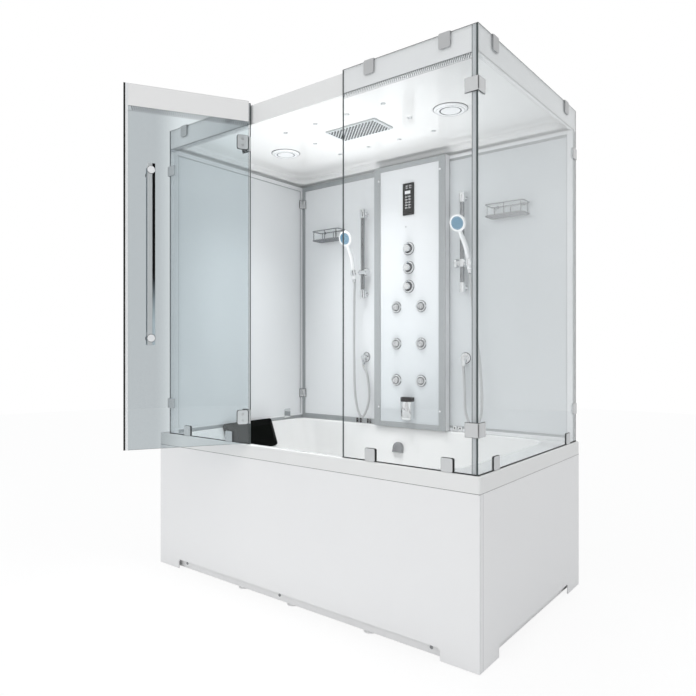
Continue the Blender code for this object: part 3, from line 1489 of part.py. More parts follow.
def mixer_valve():
    front = COLUMN_FACE + VALVE_SETBACK
    back = front + VALVE_DEPTH
    middle = (front + back) / 2
    bottom, top = min(KNOB_HEIGHTS) - VALVE_MARGIN, max(KNOB_HEIGHTS) + VALVE_MARGIN
    half = VALVE_WIDTH / 2
    low, high = (COLUMN_X - half, front, bottom), (COLUMN_X + half, back, top)
    block = box("mixer_valve", low, high, SMALL_EDGE)
    cross = max(JET_HEIGHTS) + JET_PIPE_RISE
    jet_bottom = min(JET_HEIGHTS) - JET_PIPE_DROP
    left, right = COLUMN_X - JET_OFFSET, COLUMN_X + JET_OFFSET
    corners = ((left, jet_bottom), (left, cross), (right, cross), (right, jet_bottom))
    pipes = [tube("jet_pipe", [(x, middle, z) for x, z in corners], PIPE_RADIUS)]
    start, end = (COLUMN_X, middle, cross), (COLUMN_X, middle, bottom + KNOB_STEM)
    pipes.append(rod("jet_riser", start, end, PIPE_RADIUS))
    for i, (x, z) in enumerate(jet_places()):
        start, end = (x, middle, z), (x, COLUMN_FACE + JET_BALL + GAP, z)
        pipes.append(rod(f"jet_branch_{i}", start, end, JET_BRANCH, HIDDEN_SIDES))
    for i, side in enumerate((-1, 1)):
        x = COLUMN_X + side * SUPPLY_SPREAD
        y = back - PIPE_RADIUS - SMALL_EDGE
        start, end = (x, y, SUPPLY_BOTTOM), (x, y, bottom + KNOB_STEM)
        pipes.append(rod(f"supply_{i}", start, end, PIPE_RADIUS, COARSE_SIDES))
    bores = []
    for i, z in enumerate(KNOB_HEIGHTS):
        start, end = (COLUMN_X, front - OVERRUN, z), (COLUMN_X, front + VALVE_BORE, z)
        bores.append(hole(f"valve_bore_{i}", start, end, KNOB_STEM, HIDDEN_SIDES))
    return finish(cut(join(block, *pipes), *bores), "brass")


# Hand showers. Each is made round its own slider, with outward pointing away from the column

def rail_x(side):
    return COLUMN_X + side * RAIL_OFFSET


def shower_rail(name, side):
    x, edge = rail_x(side), SMALL_EDGE
    low, high = RAIL_BOTTOM_Z, RAIL_TOP_Z
    profile = [
        (0.0, high),
        (RAIL_CAP - edge, high),
        (RAIL_CAP, high - edge),
        (RAIL_CAP, high - RAIL_CAP_HEIGHT),
        (RAIL_RADIUS, high - RAIL_CAP_HEIGHT),
        (RAIL_RADIUS, low + RAIL_CAP_HEIGHT),
        (RAIL_CAP, low + RAIL_CAP_HEIGHT),
        (RAIL_CAP, low + edge),
        (RAIL_CAP - edge, low),
        (0.0, low),
    ]
    bar = turned(name, profile, at=(x, RAIL_Y, 0))
    posts = []
    for i, z in enumerate((low + RAIL_CAP_HEIGHT / 2, high - RAIL_CAP_HEIGHT / 2)):
        wall = PANEL_FACE - GAP
        start, end = (x, RAIL_Y + SINK, z), (x, wall - SINK, z)
        posts.append(rod(f"{name}_post_{i}", start, end, RAIL_POST, COARSE_SIDES))
        start, end = (x, wall - RAIL_FLANGE_THICKNESS, z), (x, wall, z)
        posts.append(rod(f"{name}_flange_{i}", start, end, RAIL_FLANGE, COARSE_SIDES))
    return finish(join(bar, *posts), "chrome")


def slider(name, side):
    body = rod(name, (-side * SLIDER_KNOB_START, 0, 0), (side * SLIDER_END, 0, 0), SLIDER_RADIUS)
    half = SLIDER_HEIGHT / 2
    sleeve = rod(name + "_sleeve", (0, 0, -half), (0, 0, half), SLEEVE_RADIUS)
    neck = (-side * (SLIDER_KNOB_START - SINK), 0, 0)
    knob = rod(name + "_knob", neck, (-side * SLIDER_KNOB_END, 0, 0), SLIDER_KNOB)
    bore = hole(name + "_bore", (0, 0, -half - OVERRUN), (0, 0, half + OVERRUN), RAIL_RADIUS)
    socket = hole(
        name + "_socket",
        (side * (SLIDER_END - CRADLE_PIN_LENGTH), 0, 0),
        (side * (SLIDER_END + OVERRUN), 0, 0),
        CRADLE_PIN,
        COARSE_SIDES,
    )
    return finish(cut(join(body, sleeve, knob), bore, socket), "chrome")


def cradle_axis(side):
    """A point on the handle's axis where the cradle holds it, and the axis's direction up."""
    lean = math.radians(CRADLE_LEAN)
    point = Vector((side * CRADLE_OFFSET, -CRADLE_FORWARD, 0.0))
    return point, Vector((0.0, -math.sin(lean), math.cos(lean)))


def cradle(name, side):
    inner, outer = side * (SLIDER_END + GAP), side * CRADLE_OFFSET
    hub = rod(name, (inner, 0, 0), (outer, 0, 0), CRADLE_HUB)
    pin_end = side * (SLIDER_END - CRADLE_PIN_LENGTH + GAP)
    pin = rod(name + "_pin", (pin_end, 0, 0), (outer, 0, 0), CRADLE_PIN, COARSE_SIDES)
    centre, up = cradle_axis(side)
    half = up * CRADLE_HEIGHT / 2
    ring = rod(name + "_ring", centre - half, centre + half, CRADLE_RING, end_radius=CRADLE_MOUTH)
    start = side * (CRADLE_OFFSET - CRADLE_RING)
    end = side * (CRADLE_OFFSET + CRADLE_PIN)
    web = box(
        name + "_web",
        (min(start, end), -CRADLE_FORWARD, -CRADLE_HUB / 2),
        (max(start, end), 0, CRADLE_HUB / 2),
    )
    bore = hole(name + "_bore", centre - 2 * half, centre + 2 * half, HANDSET_GRIP)
    return finish(cut(join(hub, pin, ring, web), bore), "chrome")


def head_place(side):
    """The head's centre and the direction that its face looks in."""
    tilt = math.radians(HEAD_TILT)
    centre = Vector((side * (HEAD_OFFSET - RAIL_OFFSET), HEAD_Y - RAIL_Y, HEAD_Z - SLIDER_Z))
    return centre, Vector((0.0, -math.cos(tilt), -math.sin(tilt)))


def handset(name, side):
    centre, up = cradle_axis(side)
    head, facing = head_place(side)
    half = HEAD_DEPTH / 2
    profile = [
        (0.0, half),
        (HEAD_RADIUS - 2 * HEAD_EDGE, half),
        (HEAD_RADIUS - HEAD_EDGE, half),
        (HEAD_RADIUS, half - HEAD_EDGE),
        *[(HEAD_RADIUS * out, -HEAD_DEPTH * back) for out, back in HEAD_BACK_SHARES],
    ]
    rose = turned(name, profile, SIDES, facing, head)
    arm_start, grip_end = GRIP_SHARES
    bottom, top = centre - up * HANDSET_BELOW, centre + up * CRADLE_HEIGHT * grip_end
    grip = rod(name + "_grip", bottom, top, HANDSET_GRIP, COARSE_SIDES)
    nut = rod(name + "_nut", bottom + up * SINK, bottom - up * HANDSET_NUT, ELBOW_NUT, COARSE_SIDES)
    neck = head - facing * HEAD_DEPTH * NECK_SHARE
    lower = neck - Vector((0.0, 0.0, HEAD_RADIUS * ARM_SHARE))
    start = centre + up * CRADLE_HEIGHT * arm_start
    bend = (start + lower) / 2 + Vector((0.0, HEAD_NECK, 0.0))
    arm = tube(name + "_arm", smooth_path([start, bend, lower, neck], HOSE_STEP), HANDSET_GRIP, 2)
    return [grip, nut, arm], rose


def hand_shower(side_name, side):
    shower_rail(f"{side_name}_shower_rail", side)
    level = pivot(f"{side_name}_slider_slide", (rail_x(side), RAIL_Y, SLIDER_Z))
    carry(level, slider(f"{side_name}_slider", side))
    tilt = pivot(f"{side_name}_cradle_tilt", (0, 0, 0), parent=level)
    carry(tilt, cradle(f"{side_name}_cradle", side))
    pieces, rose = handset(f"{side_name}_handset", side)
    for piece in pieces:
        piece.data.transform(rose.matrix_world.inverted())
    join(rose, *pieces)
    place = rose.matrix_world.copy()
    finish(rose, "white")
    for piece in pieces:
        piece.parent = rose
    rose.parent = tilt
    rose.matrix_local = place


def wall_elbow(name, side):
    x = COLUMN_X + side * ELBOW_OFFSET
    wall = PANEL_FACE - GAP
    profile = [
        (0.0, ELBOW_DISC_DEPTH),
        (ELBOW_DISC - 2 * SMALL_EDGE, ELBOW_DISC_DEPTH),
        (ELBOW_DISC, ELBOW_DISC_DEPTH - SMALL_EDGE),
        (ELBOW_DISC, 0.0),
        (0.0, 0.0),
    ]
    disc = turned(name, profile, SIDES, (0, -1, 0), (x, wall, ELBOW_Z))
    y = wall - ELBOW_STANDOFF
    start, end = (x, wall - SINK, ELBOW_Z), (x, y - ELBOW_BODY, ELBOW_Z)
    boss = rod(name + "_boss", start, end, ELBOW_BODY)
    nut = rod(name + "_nut", (x, y, ELBOW_Z), (x, y, ELBOW_NUT_Z), ELBOW_NUT, COARSE_SIDES)
    for piece in (boss, nut):
        piece.data.transform(disc.matrix_world.inverted())
        piece.matrix_world = disc.matrix_world
    return finish(join(disc, boss, nut), "chrome")


def hose_route(side, middle):
    """From the handset's nut, down through the route's own points, and up to the elbow's nut."""
    centre, up = cradle_axis(side)
    start = Vector((rail_x(side), RAIL_Y, SLIDER_Z)) + centre - up * (HANDSET_BELOW + HANDSET_NUT + GAP)
    elbow = Vector((COLUMN_X + side * ELBOW_OFFSET, PANEL_FACE - GAP - ELBOW_STANDOFF, ELBOW_NUT_Z - GAP))
    below = elbow - Vector((0, 0, 2 * HOSE_RADIUS))
    return [start, start - up * 2 * HOSE_RADIUS, *map(Vector, middle), below, elbow]


def shower_hose(name, side, middle):
    curve = bpy.data.curves.new(name, "CURVE")
    curve.dimensions = "3D"
    curve.bevel_depth = HOSE_RADIUS
    curve.bevel_resolution = 2
    curve.use_fill_caps = True
    path = smooth_path(hose_route(side, middle), HOSE_STEP)
    spline = curve.splines.new("POLY")
    spline.points.add(len(path) - 1)
    for point, place in zip(spline.points, path):
        point.co = (*place, 1.0)
    hose = add_object(name, curve)
    curve.materials.append(MATERIALS["satin"])
    length = sum((b - a).length for a, b in zip(path, path[1:]))
    print(f"{name} is {length:.3f} m long")
    return hose


# Wire shelves on the back wall

def shelf(name, side):
    x, wall = COLUMN_X + side * SHELF_OFFSET, PANEL_FACE - GAP
    left, right = x - SHELF_WIDTH / 2 + SHELF_WIRE, x + SHELF_WIDTH / 2 - SHELF_WIRE
    front, back = wall - SHELF_DEPTH + SHELF_WIRE, wall - SHELF_MOUNT - SHELF_WIRE
    low, high = SHELF_BOTTOM + SHELF_WIRE, SHELF_BOTTOM + SHELF_HEIGHT - SHELF_WIRE
    sides = left, right, front, back
    rim = tube(name, rounded_ring(*sides, SHELF_CORNER, high, 2), SHELF_WIRE, 0, True)
    base = tube(f"{name}_base", rounded_ring(*sides, SHELF_CORNER, low, 2), SHELF_WIRE, 0, True)
    wires = []
    for i in range(SHELF_UPRIGHTS):
        place = left + SHELF_CORNER + (right - left - 2 * SHELF_CORNER) * i / (SHELF_UPRIGHTS - 1)
        for j, y in enumerate((front, back)):
            start, end = (place, y, low), (place, y, high)
            wires.append(rod(f"{name}_upright_{i}_{j}", start, end, SHELF_BAR, WIRE_SIDES))
    for i in range(SHELF_FLOOR_WIRES):
        y = front + (back - front) * (i + 1) / (SHELF_FLOOR_WIRES + 1)
        start, end = (left, y, low), (right, y, low)
        wires.append(rod(f"{name}_floor_{i}", start, end, SHELF_BAR, WIRE_SIDES))
    for i, place in enumerate((left + SHELF_DEPTH / 3, right - SHELF_DEPTH / 3)):
        start, end = (place, back, high), (place, wall, high)
        wires.append(rod(f"{name}_mount_{i}", start, end, SHELF_ROSE, COARSE_SIDES))
    return finish(join(rim, base, *wires), "chrome")


# The whole unit

def build():
    tub()
    front_apron()
    side_apron()
    base_frame()
    waste_trap()
    drain_plug()
    overflow_cover()
    pillow()
    steam_generator()
    front_left_glass()
    front_right_glass()
    side_glass()
    for name, height in zip(("lower", "upper"), CLAMP_HEIGHTS):
        left_corner_clamp(f"front_left_clamp_{name}", height)
        right_corner_clamp(f"front_right_clamp_{name}", height)
    left_wall_frame()
    left_wall_panel()
    back_wall_frame()
    back_panel("back_panel_left", 0)
    back_panel("back_panel_right", 2)
    roof()
    rain_shower_head()
    ceiling_fixture("ceiling_speaker", SPEAKER_X, "grey")
    ceiling_fixture("ceiling_light", LIGHT_X, "white")
    door()
    column_frame()
    column_panel()
    control_pad()
    for i, height in enumerate(KNOB_HEIGHTS):
        control_knob(f"control_knob_{i + 1}", height)
    for i, (x, z) in enumerate(jet_places()):
        jet_nozzle(f"jet_nozzle_{i + 1}", x, z)
    steam_outlet()
    mixer_valve()
    for side_name, side in SHOWER_SIDES:
        hand_shower(side_name, side)
        wall_elbow(f"{side_name}_wall_elbow", side)
        shelf(f"{side_name}_shelf", side)
    shower_hose("left_shower_hose", -1, LEFT_HOSE)
    shower_hose("right_shower_hose", 1, RIGHT_HOSE)


clear_scene()
PARTS = make_collection("steam_shower_cabin")
HELPERS = make_collection("cutters")
MATERIALS = make_materials()
build()
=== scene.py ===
"""A steam shower cabin over a moulded bath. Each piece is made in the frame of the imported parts."""

import math

import bmesh
import bpy
from mathutils import Matrix, Vector


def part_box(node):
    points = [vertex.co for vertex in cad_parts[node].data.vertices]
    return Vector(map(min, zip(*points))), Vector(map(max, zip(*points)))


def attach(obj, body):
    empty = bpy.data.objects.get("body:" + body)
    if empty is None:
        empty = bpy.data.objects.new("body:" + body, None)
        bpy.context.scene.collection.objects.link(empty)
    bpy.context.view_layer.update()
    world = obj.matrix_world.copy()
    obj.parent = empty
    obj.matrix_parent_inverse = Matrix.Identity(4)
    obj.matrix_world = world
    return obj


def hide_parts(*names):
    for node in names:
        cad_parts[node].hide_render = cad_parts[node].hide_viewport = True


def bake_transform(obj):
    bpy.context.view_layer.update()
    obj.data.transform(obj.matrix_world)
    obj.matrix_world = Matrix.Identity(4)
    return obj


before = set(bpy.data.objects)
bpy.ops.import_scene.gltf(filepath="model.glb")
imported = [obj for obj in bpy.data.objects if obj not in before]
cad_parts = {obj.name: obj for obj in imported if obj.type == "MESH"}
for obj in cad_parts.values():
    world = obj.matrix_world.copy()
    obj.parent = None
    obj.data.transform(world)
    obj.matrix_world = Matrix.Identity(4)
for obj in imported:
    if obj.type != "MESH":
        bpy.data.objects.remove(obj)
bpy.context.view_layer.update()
scene = bpy.context.scene

# Whole unit
TUB_X, TUB_Y = 0.875, 0.500
RIM, UNIT_TOP = 0.652, 2.150
GAP = 0.0003
CABIN = "cabin"

# Wall planes
FRONT, FRONT_BACK = -0.493, -0.487
SIDE_IN, SIDE_OUT = 0.859, 0.865
WALL_LEFT, LEFT_FACE = -0.812, -0.776
WALL_BACK, WALL_FACE, PANEL_FACE = 0.486, 0.450, 0.452
WALL_FOOT, WALL_TOP = 0.6523, 2.0567
CLAMP_HEIGHTS = (0.802, 1.950)

# Roof
ROOF_FOOT, CEILING, ROOF_TOP = 2.057, 2.100, 2.142
PRINT_FOOT = 2.0605

# Door
DOOR_LEFT = -0.229
DOOR_RIGHT = 0.2925
HINGE = Vector((-0.226, -0.500, 0.0))
HINGE_HEIGHTS = (("upper", 1.968), ("lower", 0.775))
DOOR_ANGLE = -120.0
DOOR_LENGTH = 0.517

# Column and hand showers
COLUMN_X, COLUMN_LEFT, COLUMN_RIGHT = 0.020, -0.2005, 0.2405
COLUMN_FRONT, COLUMN_FACE = 0.405, 0.4093
RAIL_Y, SLIDER_Z = 0.417, 1.498
SIDES = (("left", -1), ("right", 1))


# Camera

def make_camera():
    data = bpy.data.cameras.new("camera")
    data.sensor_width, data.lens = 36.0, 31.99
    camera = bpy.data.objects.new("camera", data)
    camera.location = (1.787, -2.359, 1.075)
    camera.rotation_euler = (math.radians(90), 0, math.radians(38.18))
    scene.collection.objects.link(camera)
    scene.camera = camera


# Node trees

def link(tree, start, end):
    tree.links.new(start, end)


def make_group(name, kind, inputs, outputs):
    """A node group with its input and output nodes. Each socket is given by its name and type."""
    tree = bpy.data.node_groups.new(name, kind)
    for direction, sockets in (("INPUT", inputs), ("OUTPUT", outputs)):
        for socket, socket_type in sockets:
            tree.interface.new_socket(socket, in_out=direction, socket_type=socket_type)
    return tree, tree.nodes.new("NodeGroupInput"), tree.nodes.new("NodeGroupOutput")


def make_finish_group():
    """Soft changes of colour and gloss over a surface, and a fine grain for its height."""
    number, colour, vector = "NodeSocketFloat", "NodeSocketColor", "NodeSocketVector"
    tree, given, made = make_group(
        "finish",
        "ShaderNodeTree",
        [
            ("Colour", colour),
            ("Shade", colour),
            ("Scale", number),
            ("Stretch", vector),
            ("Roughness", number),
            ("Spread", number),
        ],
        [("Colour", colour), ("Roughness", number), ("Height", number)],
    )
    nodes = tree.nodes
    place = nodes.new("ShaderNodeTexCoord")
    stretch = nodes.new("ShaderNodeVectorMath")
    stretch.operation = "MULTIPLY"
    link(tree, place.outputs["Object"], stretch.inputs[0])
    link(tree, given.outputs["Stretch"], stretch.inputs[1])
    cloud = nodes.new("ShaderNodeTexNoise")
    cloud.inputs["Detail"].default_value = 3.0
    link(tree, stretch.outputs[0], cloud.inputs["Vector"])
    link(tree, given.outputs["Scale"], cloud.inputs["Scale"])
    tint = nodes.new("ShaderNodeMix")
    tint.data_type = "RGBA"
    link(tree, cloud.outputs["Fac"], tint.inputs["Factor"])
    link(tree, given.outputs["Colour"], tint.inputs[6])
    link(tree, given.outputs["Shade"], tint.inputs[7])
    link(tree, tint.outputs[2], made.inputs["Colour"])
    centred = nodes.new("ShaderNodeMath")
    centred.operation = "SUBTRACT"
    centred.inputs[1].default_value = 0.5
    link(tree, cloud.outputs["Fac"], centred.inputs[0])
    rough = nodes.new("ShaderNodeMath")
    rough.operation = "MULTIPLY_ADD"
    link(tree, centred.outputs[0], rough.inputs[0])
    link(tree, given.outputs["Spread"], rough.inputs[1])
    link(tree, given.outputs["Roughness"], rough.inputs[2])
    link(tree, rough.outputs[0], made.inputs["Roughness"])
    link(tree, cloud.outputs["Fac"], made.inputs["Height"])
    return tree


FINISH = make_finish_group()


def make_material(
    name, colour, roughness, shade=None, spread=0.04, scale=6.0, stretch=(1, 1, 1), bump=0.0, **settings
):
    """A material whose colour drifts to shade and whose roughness drifts by spread. settings are Principled sockets."""
    material = bpy.data.materials.new(name)
    material.use_nodes = True
    tree = material.node_tree
    shader = tree.nodes["Principled BSDF"]
    finish = tree.nodes.new("ShaderNodeGroup")
    finish.node_tree = FINISH
    shade = shade or tuple(c * 0.96 for c in colour)
    finish.inputs["Colour"].default_value = (*colour, 1)
    finish.inputs["Shade"].default_value = (*shade, 1)
    finish.inputs["Scale"].default_value = scale
    finish.inputs["Stretch"].default_value = stretch
    finish.inputs["Roughness"].default_value = roughness
    finish.inputs["Spread"].default_value = spread
    link(tree, finish.outputs["Colour"], shader.inputs["Base Color"])
    if spread:
        link(tree, finish.outputs["Roughness"], shader.inputs["Roughness"])
    else:
        shader.inputs["Roughness"].default_value = roughness
    if bump:
        relief = tree.nodes.new("ShaderNodeBump")
        relief.inputs["Strength"].default_value = 0.3
        relief.inputs["Distance"].default_value = bump
        link(tree, finish.outputs["Height"], relief.inputs["Height"])
        link(tree, relief.outputs["Normal"], shader.inputs["Normal"])
    for socket, value in settings.items():
        shader.inputs[socket.replace("_", " ").title().replace("Ior", "IOR")].default_value = value
    return material


def make_glass(name, tint, shade, scale, passed):
    """Clear glass. Light from lamps and from lit surfaces goes straight through it."""
    material = make_material(
        name, tint, 0.0, shade, spread=0.0, scale=scale, transmission_weight=1.0, ior=1.45
    )
    tree = material.node_tree
    path = tree.nodes.new("ShaderNodeLightPath")
    either = tree.nodes.new("ShaderNodeMath")
    either.operation = "MAXIMUM"
    link(tree, path.outputs["Is Shadow Ray"], either.inputs[0])
    link(tree, path.outputs["Is Diffuse Ray"], either.inputs[1])
    open_glass = tree.nodes.new("ShaderNodeBsdfTransparent")
    open_glass.inputs["Color"].default_value = (*passed, 1)
    mix = tree.nodes.new("ShaderNodeMixShader")
    link(tree, either.outputs[0], mix.inputs[0])
    link(tree, tree.nodes["Principled BSDF"].outputs[0], mix.inputs[1])
    link(tree, open_glass.outputs[0], mix.inputs[2])
    link(tree, mix.outputs[0], tree.nodes["Material Output"].inputs["Surface"])
    return material


def grade(material, origin, along, near, far, colour):
    """Fades a material's colour to another one over a stretch of the way along a direction."""
    tree = material.node_tree
    place, shift, measure, ramp, fade = (
        tree.nodes.new(kind)
        for kind in ("ShaderNodeTexCoord", "ShaderNodeVectorMath", "ShaderNodeVectorMath", "ShaderNodeMapRange",
                     "ShaderNodeMix")
    )
    shift.operation, measure.operation = "SUBTRACT", "DOT_PRODUCT"
    shift.inputs[1].default_value, measure.inputs[1].default_value = origin, along
    link(tree, place.outputs["Object"], shift.inputs[0])
    link(tree, shift.outputs[0], measure.inputs[0])
    link(tree, measure.outputs["Value"], ramp.inputs["Value"])
    ramp.interpolation_type = "SMOOTHSTEP"
    ramp.inputs["From Min"].default_value, ramp.inputs["From Max"].default_value = near, far
    base = tree.nodes["Principled BSDF"].inputs["Base Color"]
    fade.data_type = "RGBA"
    fade.inputs[6].default_value = (*colour, 1)
    if base.is_linked:
        link(tree, base.links[0].from_socket, fade.inputs[7])
    else:
        fade.inputs[7].default_value = base.default_value
    link(tree, ramp.outputs[0], fade.inputs["Factor"])
    link(tree, fade.outputs[2], base)
    return material


ACRYLIC = make_material("acrylic", (0.82, 0.82, 0.815), 0.14, (0.79, 0.795, 0.79), coat_weight=0.4)
APRON = make_material("apron_white", (0.86, 0.86, 0.86), 0.30, (0.84, 0.84, 0.845), scale=2.5)
PANEL = make_material("wall_panel", (0.80, 0.815, 0.825), 0.12, (0.78, 0.80, 0.815), scale=2.0, coat_weight=0.3)
# A darker copy of the wall panel: painted shade for the right back board, which is the same panel as the others.
PANEL_SHADED = make_material(
    "wall_panel_painted_shade", (0.69, 0.715, 0.73), 0.12, (0.66, 0.69, 0.705), scale=2.0, coat_weight=0.3
)
FRAME = make_material(
    "anodised_frame", (0.42, 0.44, 0.45), 0.38, (0.37, 0.39, 0.40), scale=30, stretch=(1, 1, 0.05),
    metallic=0.35,
)
CHROME = make_material("chrome", (0.84, 0.85, 0.86), 0.06, (0.78, 0.79, 0.80), 0.03, 12, metallic=1.0)
TUBE = make_material("dark_chrome", (0.36, 0.37, 0.38), 0.14, (0.31, 0.32, 0.33), 0.03, 12, metallic=1.0)
POLISHED = make_material("polished_clamp", (0.70, 0.71, 0.715), 0.24, (0.64, 0.65, 0.655), 0.05, 40, metallic=0.5)
SATIN = make_material("satin_metal", (0.56, 0.57, 0.575), 0.34, (0.51, 0.515, 0.52), 0.08, 60, metallic=0.45)
STEEL = make_material("painted_steel", (0.62, 0.62, 0.62), 0.5, (0.54, 0.54, 0.55), 0.1, 18, metallic=0.4)
COATED = make_material("coated_rail", (0.90, 0.90, 0.90), 0.4, (0.87, 0.87, 0.87), scale=12)
BRASS = make_material("brass", (0.60, 0.44, 0.20), 0.30, (0.50, 0.36, 0.16), 0.1, 25, metallic=1.0)
BLACK = make_material(
    "black_gloss", (0.003, 0.003, 0.0035), 0.16, (0.005, 0.005, 0.0055), scale=8, specular_ior_level=0.06
)
RUBBER = make_material("black_rubber", (0.010, 0.010, 0.010), 0.55, (0.016, 0.016, 0.016), scale=40, bump=0.0003)
FOAM = make_material(
    "cushion_foam", (0.0015, 0.002, 0.0016), 0.6, (0.003, 0.0035, 0.003), 0.12, 90, bump=0.0004, specular_ior_level=0.04
)
GREY = make_material("grey_plastic", (0.36, 0.37, 0.38), 0.4, (0.32, 0.33, 0.34), scale=10)
# Dark for real slits, holes and seams, and also for painted shade: the dark rings round knobs, jets, elbows and ceiling
# fixtures, and the strips under the bath lip.
DARK_GAPS_AND_SHADE = make_material("dark_gaps_and_painted_shade", (0.045, 0.048, 0.05), 0.45, (0.06, 0.063, 0.066), scale=30)
WHITE = make_material("white_plastic", (0.84, 0.85, 0.86), 0.22, (0.81, 0.82, 0.83), scale=8, coat_weight=0.2)
PRINT = make_material("printed_white", (0.86, 0.855, 0.85), 0.4, (0.845, 0.84, 0.835), scale=3)
TICKS = make_material("printed_ticks", (0.16, 0.17, 0.18), 0.4, (0.13, 0.14, 0.15), scale=50)
BLUE = make_material("blue_face", (0.06, 0.17, 0.27), 0.18, (0.15, 0.33, 0.46), scale=120, coat_weight=0.5)
EDGE = make_material("glass_edge", (0.045, 0.06, 0.06), 0.3, (0.07, 0.09, 0.09), scale=15)
SEAM = make_material("grey_seam", (0.62, 0.64, 0.65), 0.35, (0.56, 0.58, 0.59), scale=20)
# Painted shade: the column board turns darker towards the bottom.
SHADED_BOARD = make_material("column_board", (0.79, 0.805, 0.82), 0.12, (0.77, 0.79, 0.805), scale=2.0, coat_weight=0.2)
grade(SHADED_BOARD, (0, 0, 0), (0, 0, 1), 0.7, 1.9, (0.60, 0.635, 0.655))
# Painted shade and dark reflection: a black strip along the side of the inner handle bar, turning a lighter blue-grey
# lower down.
HANDLE_SHADE_STRIP = make_material("handle_painted_shade", (0.006, 0.006, 0.007), 0.12, spread=0.0)
grade(HANDLE_SHADE_STRIP, (0, 0, 0), (0, 0, 1), 1.16, 1.38, (0.42, 0.50, 0.54))
HANDLE = make_material("handle_bar", (0.60, 0.63, 0.64), 0.30, (0.54, 0.57, 0.58), 0.08, 60, metallic=0.15)
CLEAR = make_glass("clear_glass", (0.985, 0.99, 0.992), (0.98, 0.987, 0.99), 1.5, (0.95, 0.96, 0.965))
# The side pane's glass is tinted a little darker than the front glass, which is painted shade.
SIDE_GLASS_SHADED = make_glass("side_glass", (0.95, 0.965, 0.97), (0.94, 0.96, 0.965), 1.5, (0.95, 0.96, 0.965))
TINTED = make_glass("tinted_glass", (0.45, 0.49, 0.51), (0.54, 0.58, 0.60), 240, (0.70, 0.74, 0.76))
# Painted light: the door pane is lighter over the part near its hinge than at its free end.
grade(TINTED, HINGE, (-0.5, -0.866, 0), 0.27, 0.40, (0.76, 0.82, 0.84))


# Forms

def rounded(u0, u1, v0, v1, radius, steps=4):
    """The corners of a rounded rectangle, as pairs."""
    radius = max(radius, 0.00002)
    centres = (
        (u1 - radius, v1 - radius),
        (u0 + radius, v1 - radius),
        (u0 + radius, v0 + radius),
        (u1 - radius, v0 + radius),
    )
    points = []
    for i, (u, v) in enumerate(centres):
        for step in range(steps + 1):
            angle = math.pi / 2 * (i + step / steps)
            points.append((u + radius * math.cos(angle), v + radius * math.sin(angle)))
    return points


def disc(radius, low, high):
    """The profile of a flat disc."""
    return [(0.0, low), (radius, low), (radius, high), (0.0, high)]


def hoop(inner, outer, low, high):
    """The profile of a flat ring."""
    return [(inner, low), (outer, low), (outer, high), (inner, high), (inner, low)]


def eased(points, radius, steps=3):
    """The points of a line with its inner corners rounded."""
    points = [Vector(p) for p in points]
    made = [points[0]]
    for before, corner, after in zip(points, points[1:], points[2:]):
        back, on = before - corner, after - corner
        reach_back = min(radius, back.length * 0.45)
        reach_on = min(radius, on.length * 0.45)
        start, end = corner + back.normalized() * reach_back, corner + on.normalized() * reach_on
        for i in range(steps + 1):
            t = i / steps
            made.append(start * (1 - t) ** 2 + corner * 2 * t * (1 - t) + end * t * t)
    return made + [points[-1]]


def smooth_path(points, step):
    """Points about a step apart on a smooth line through the given ones."""
    points = [Vector(p) for p in points]
    ends = [2 * points[0] - points[1], *points, 2 * points[-1] - points[-2]]
    path = [points[0]]
    for a, b, c, d in zip(ends, ends[1:], ends[2:], ends[3:]):
        count = max(1, round((c - b).length / step))
        for i in range(1, count + 1):
            t = i / count
            path.append(
                0.5 * (2 * b + (c - a) * t + (2 * a - 5 * b + 4 * c - d) * t**2
                       + (3 * b - a - 3 * c + d) * t**3)
            )
    return path


def facing(at, direction):
    """The place of a form whose own Z axis looks in a direction."""
    turn = Vector(direction).to_track_quat("Z", "Y")
    return Matrix.Translation(at) @ turn.to_matrix().to_4x4()


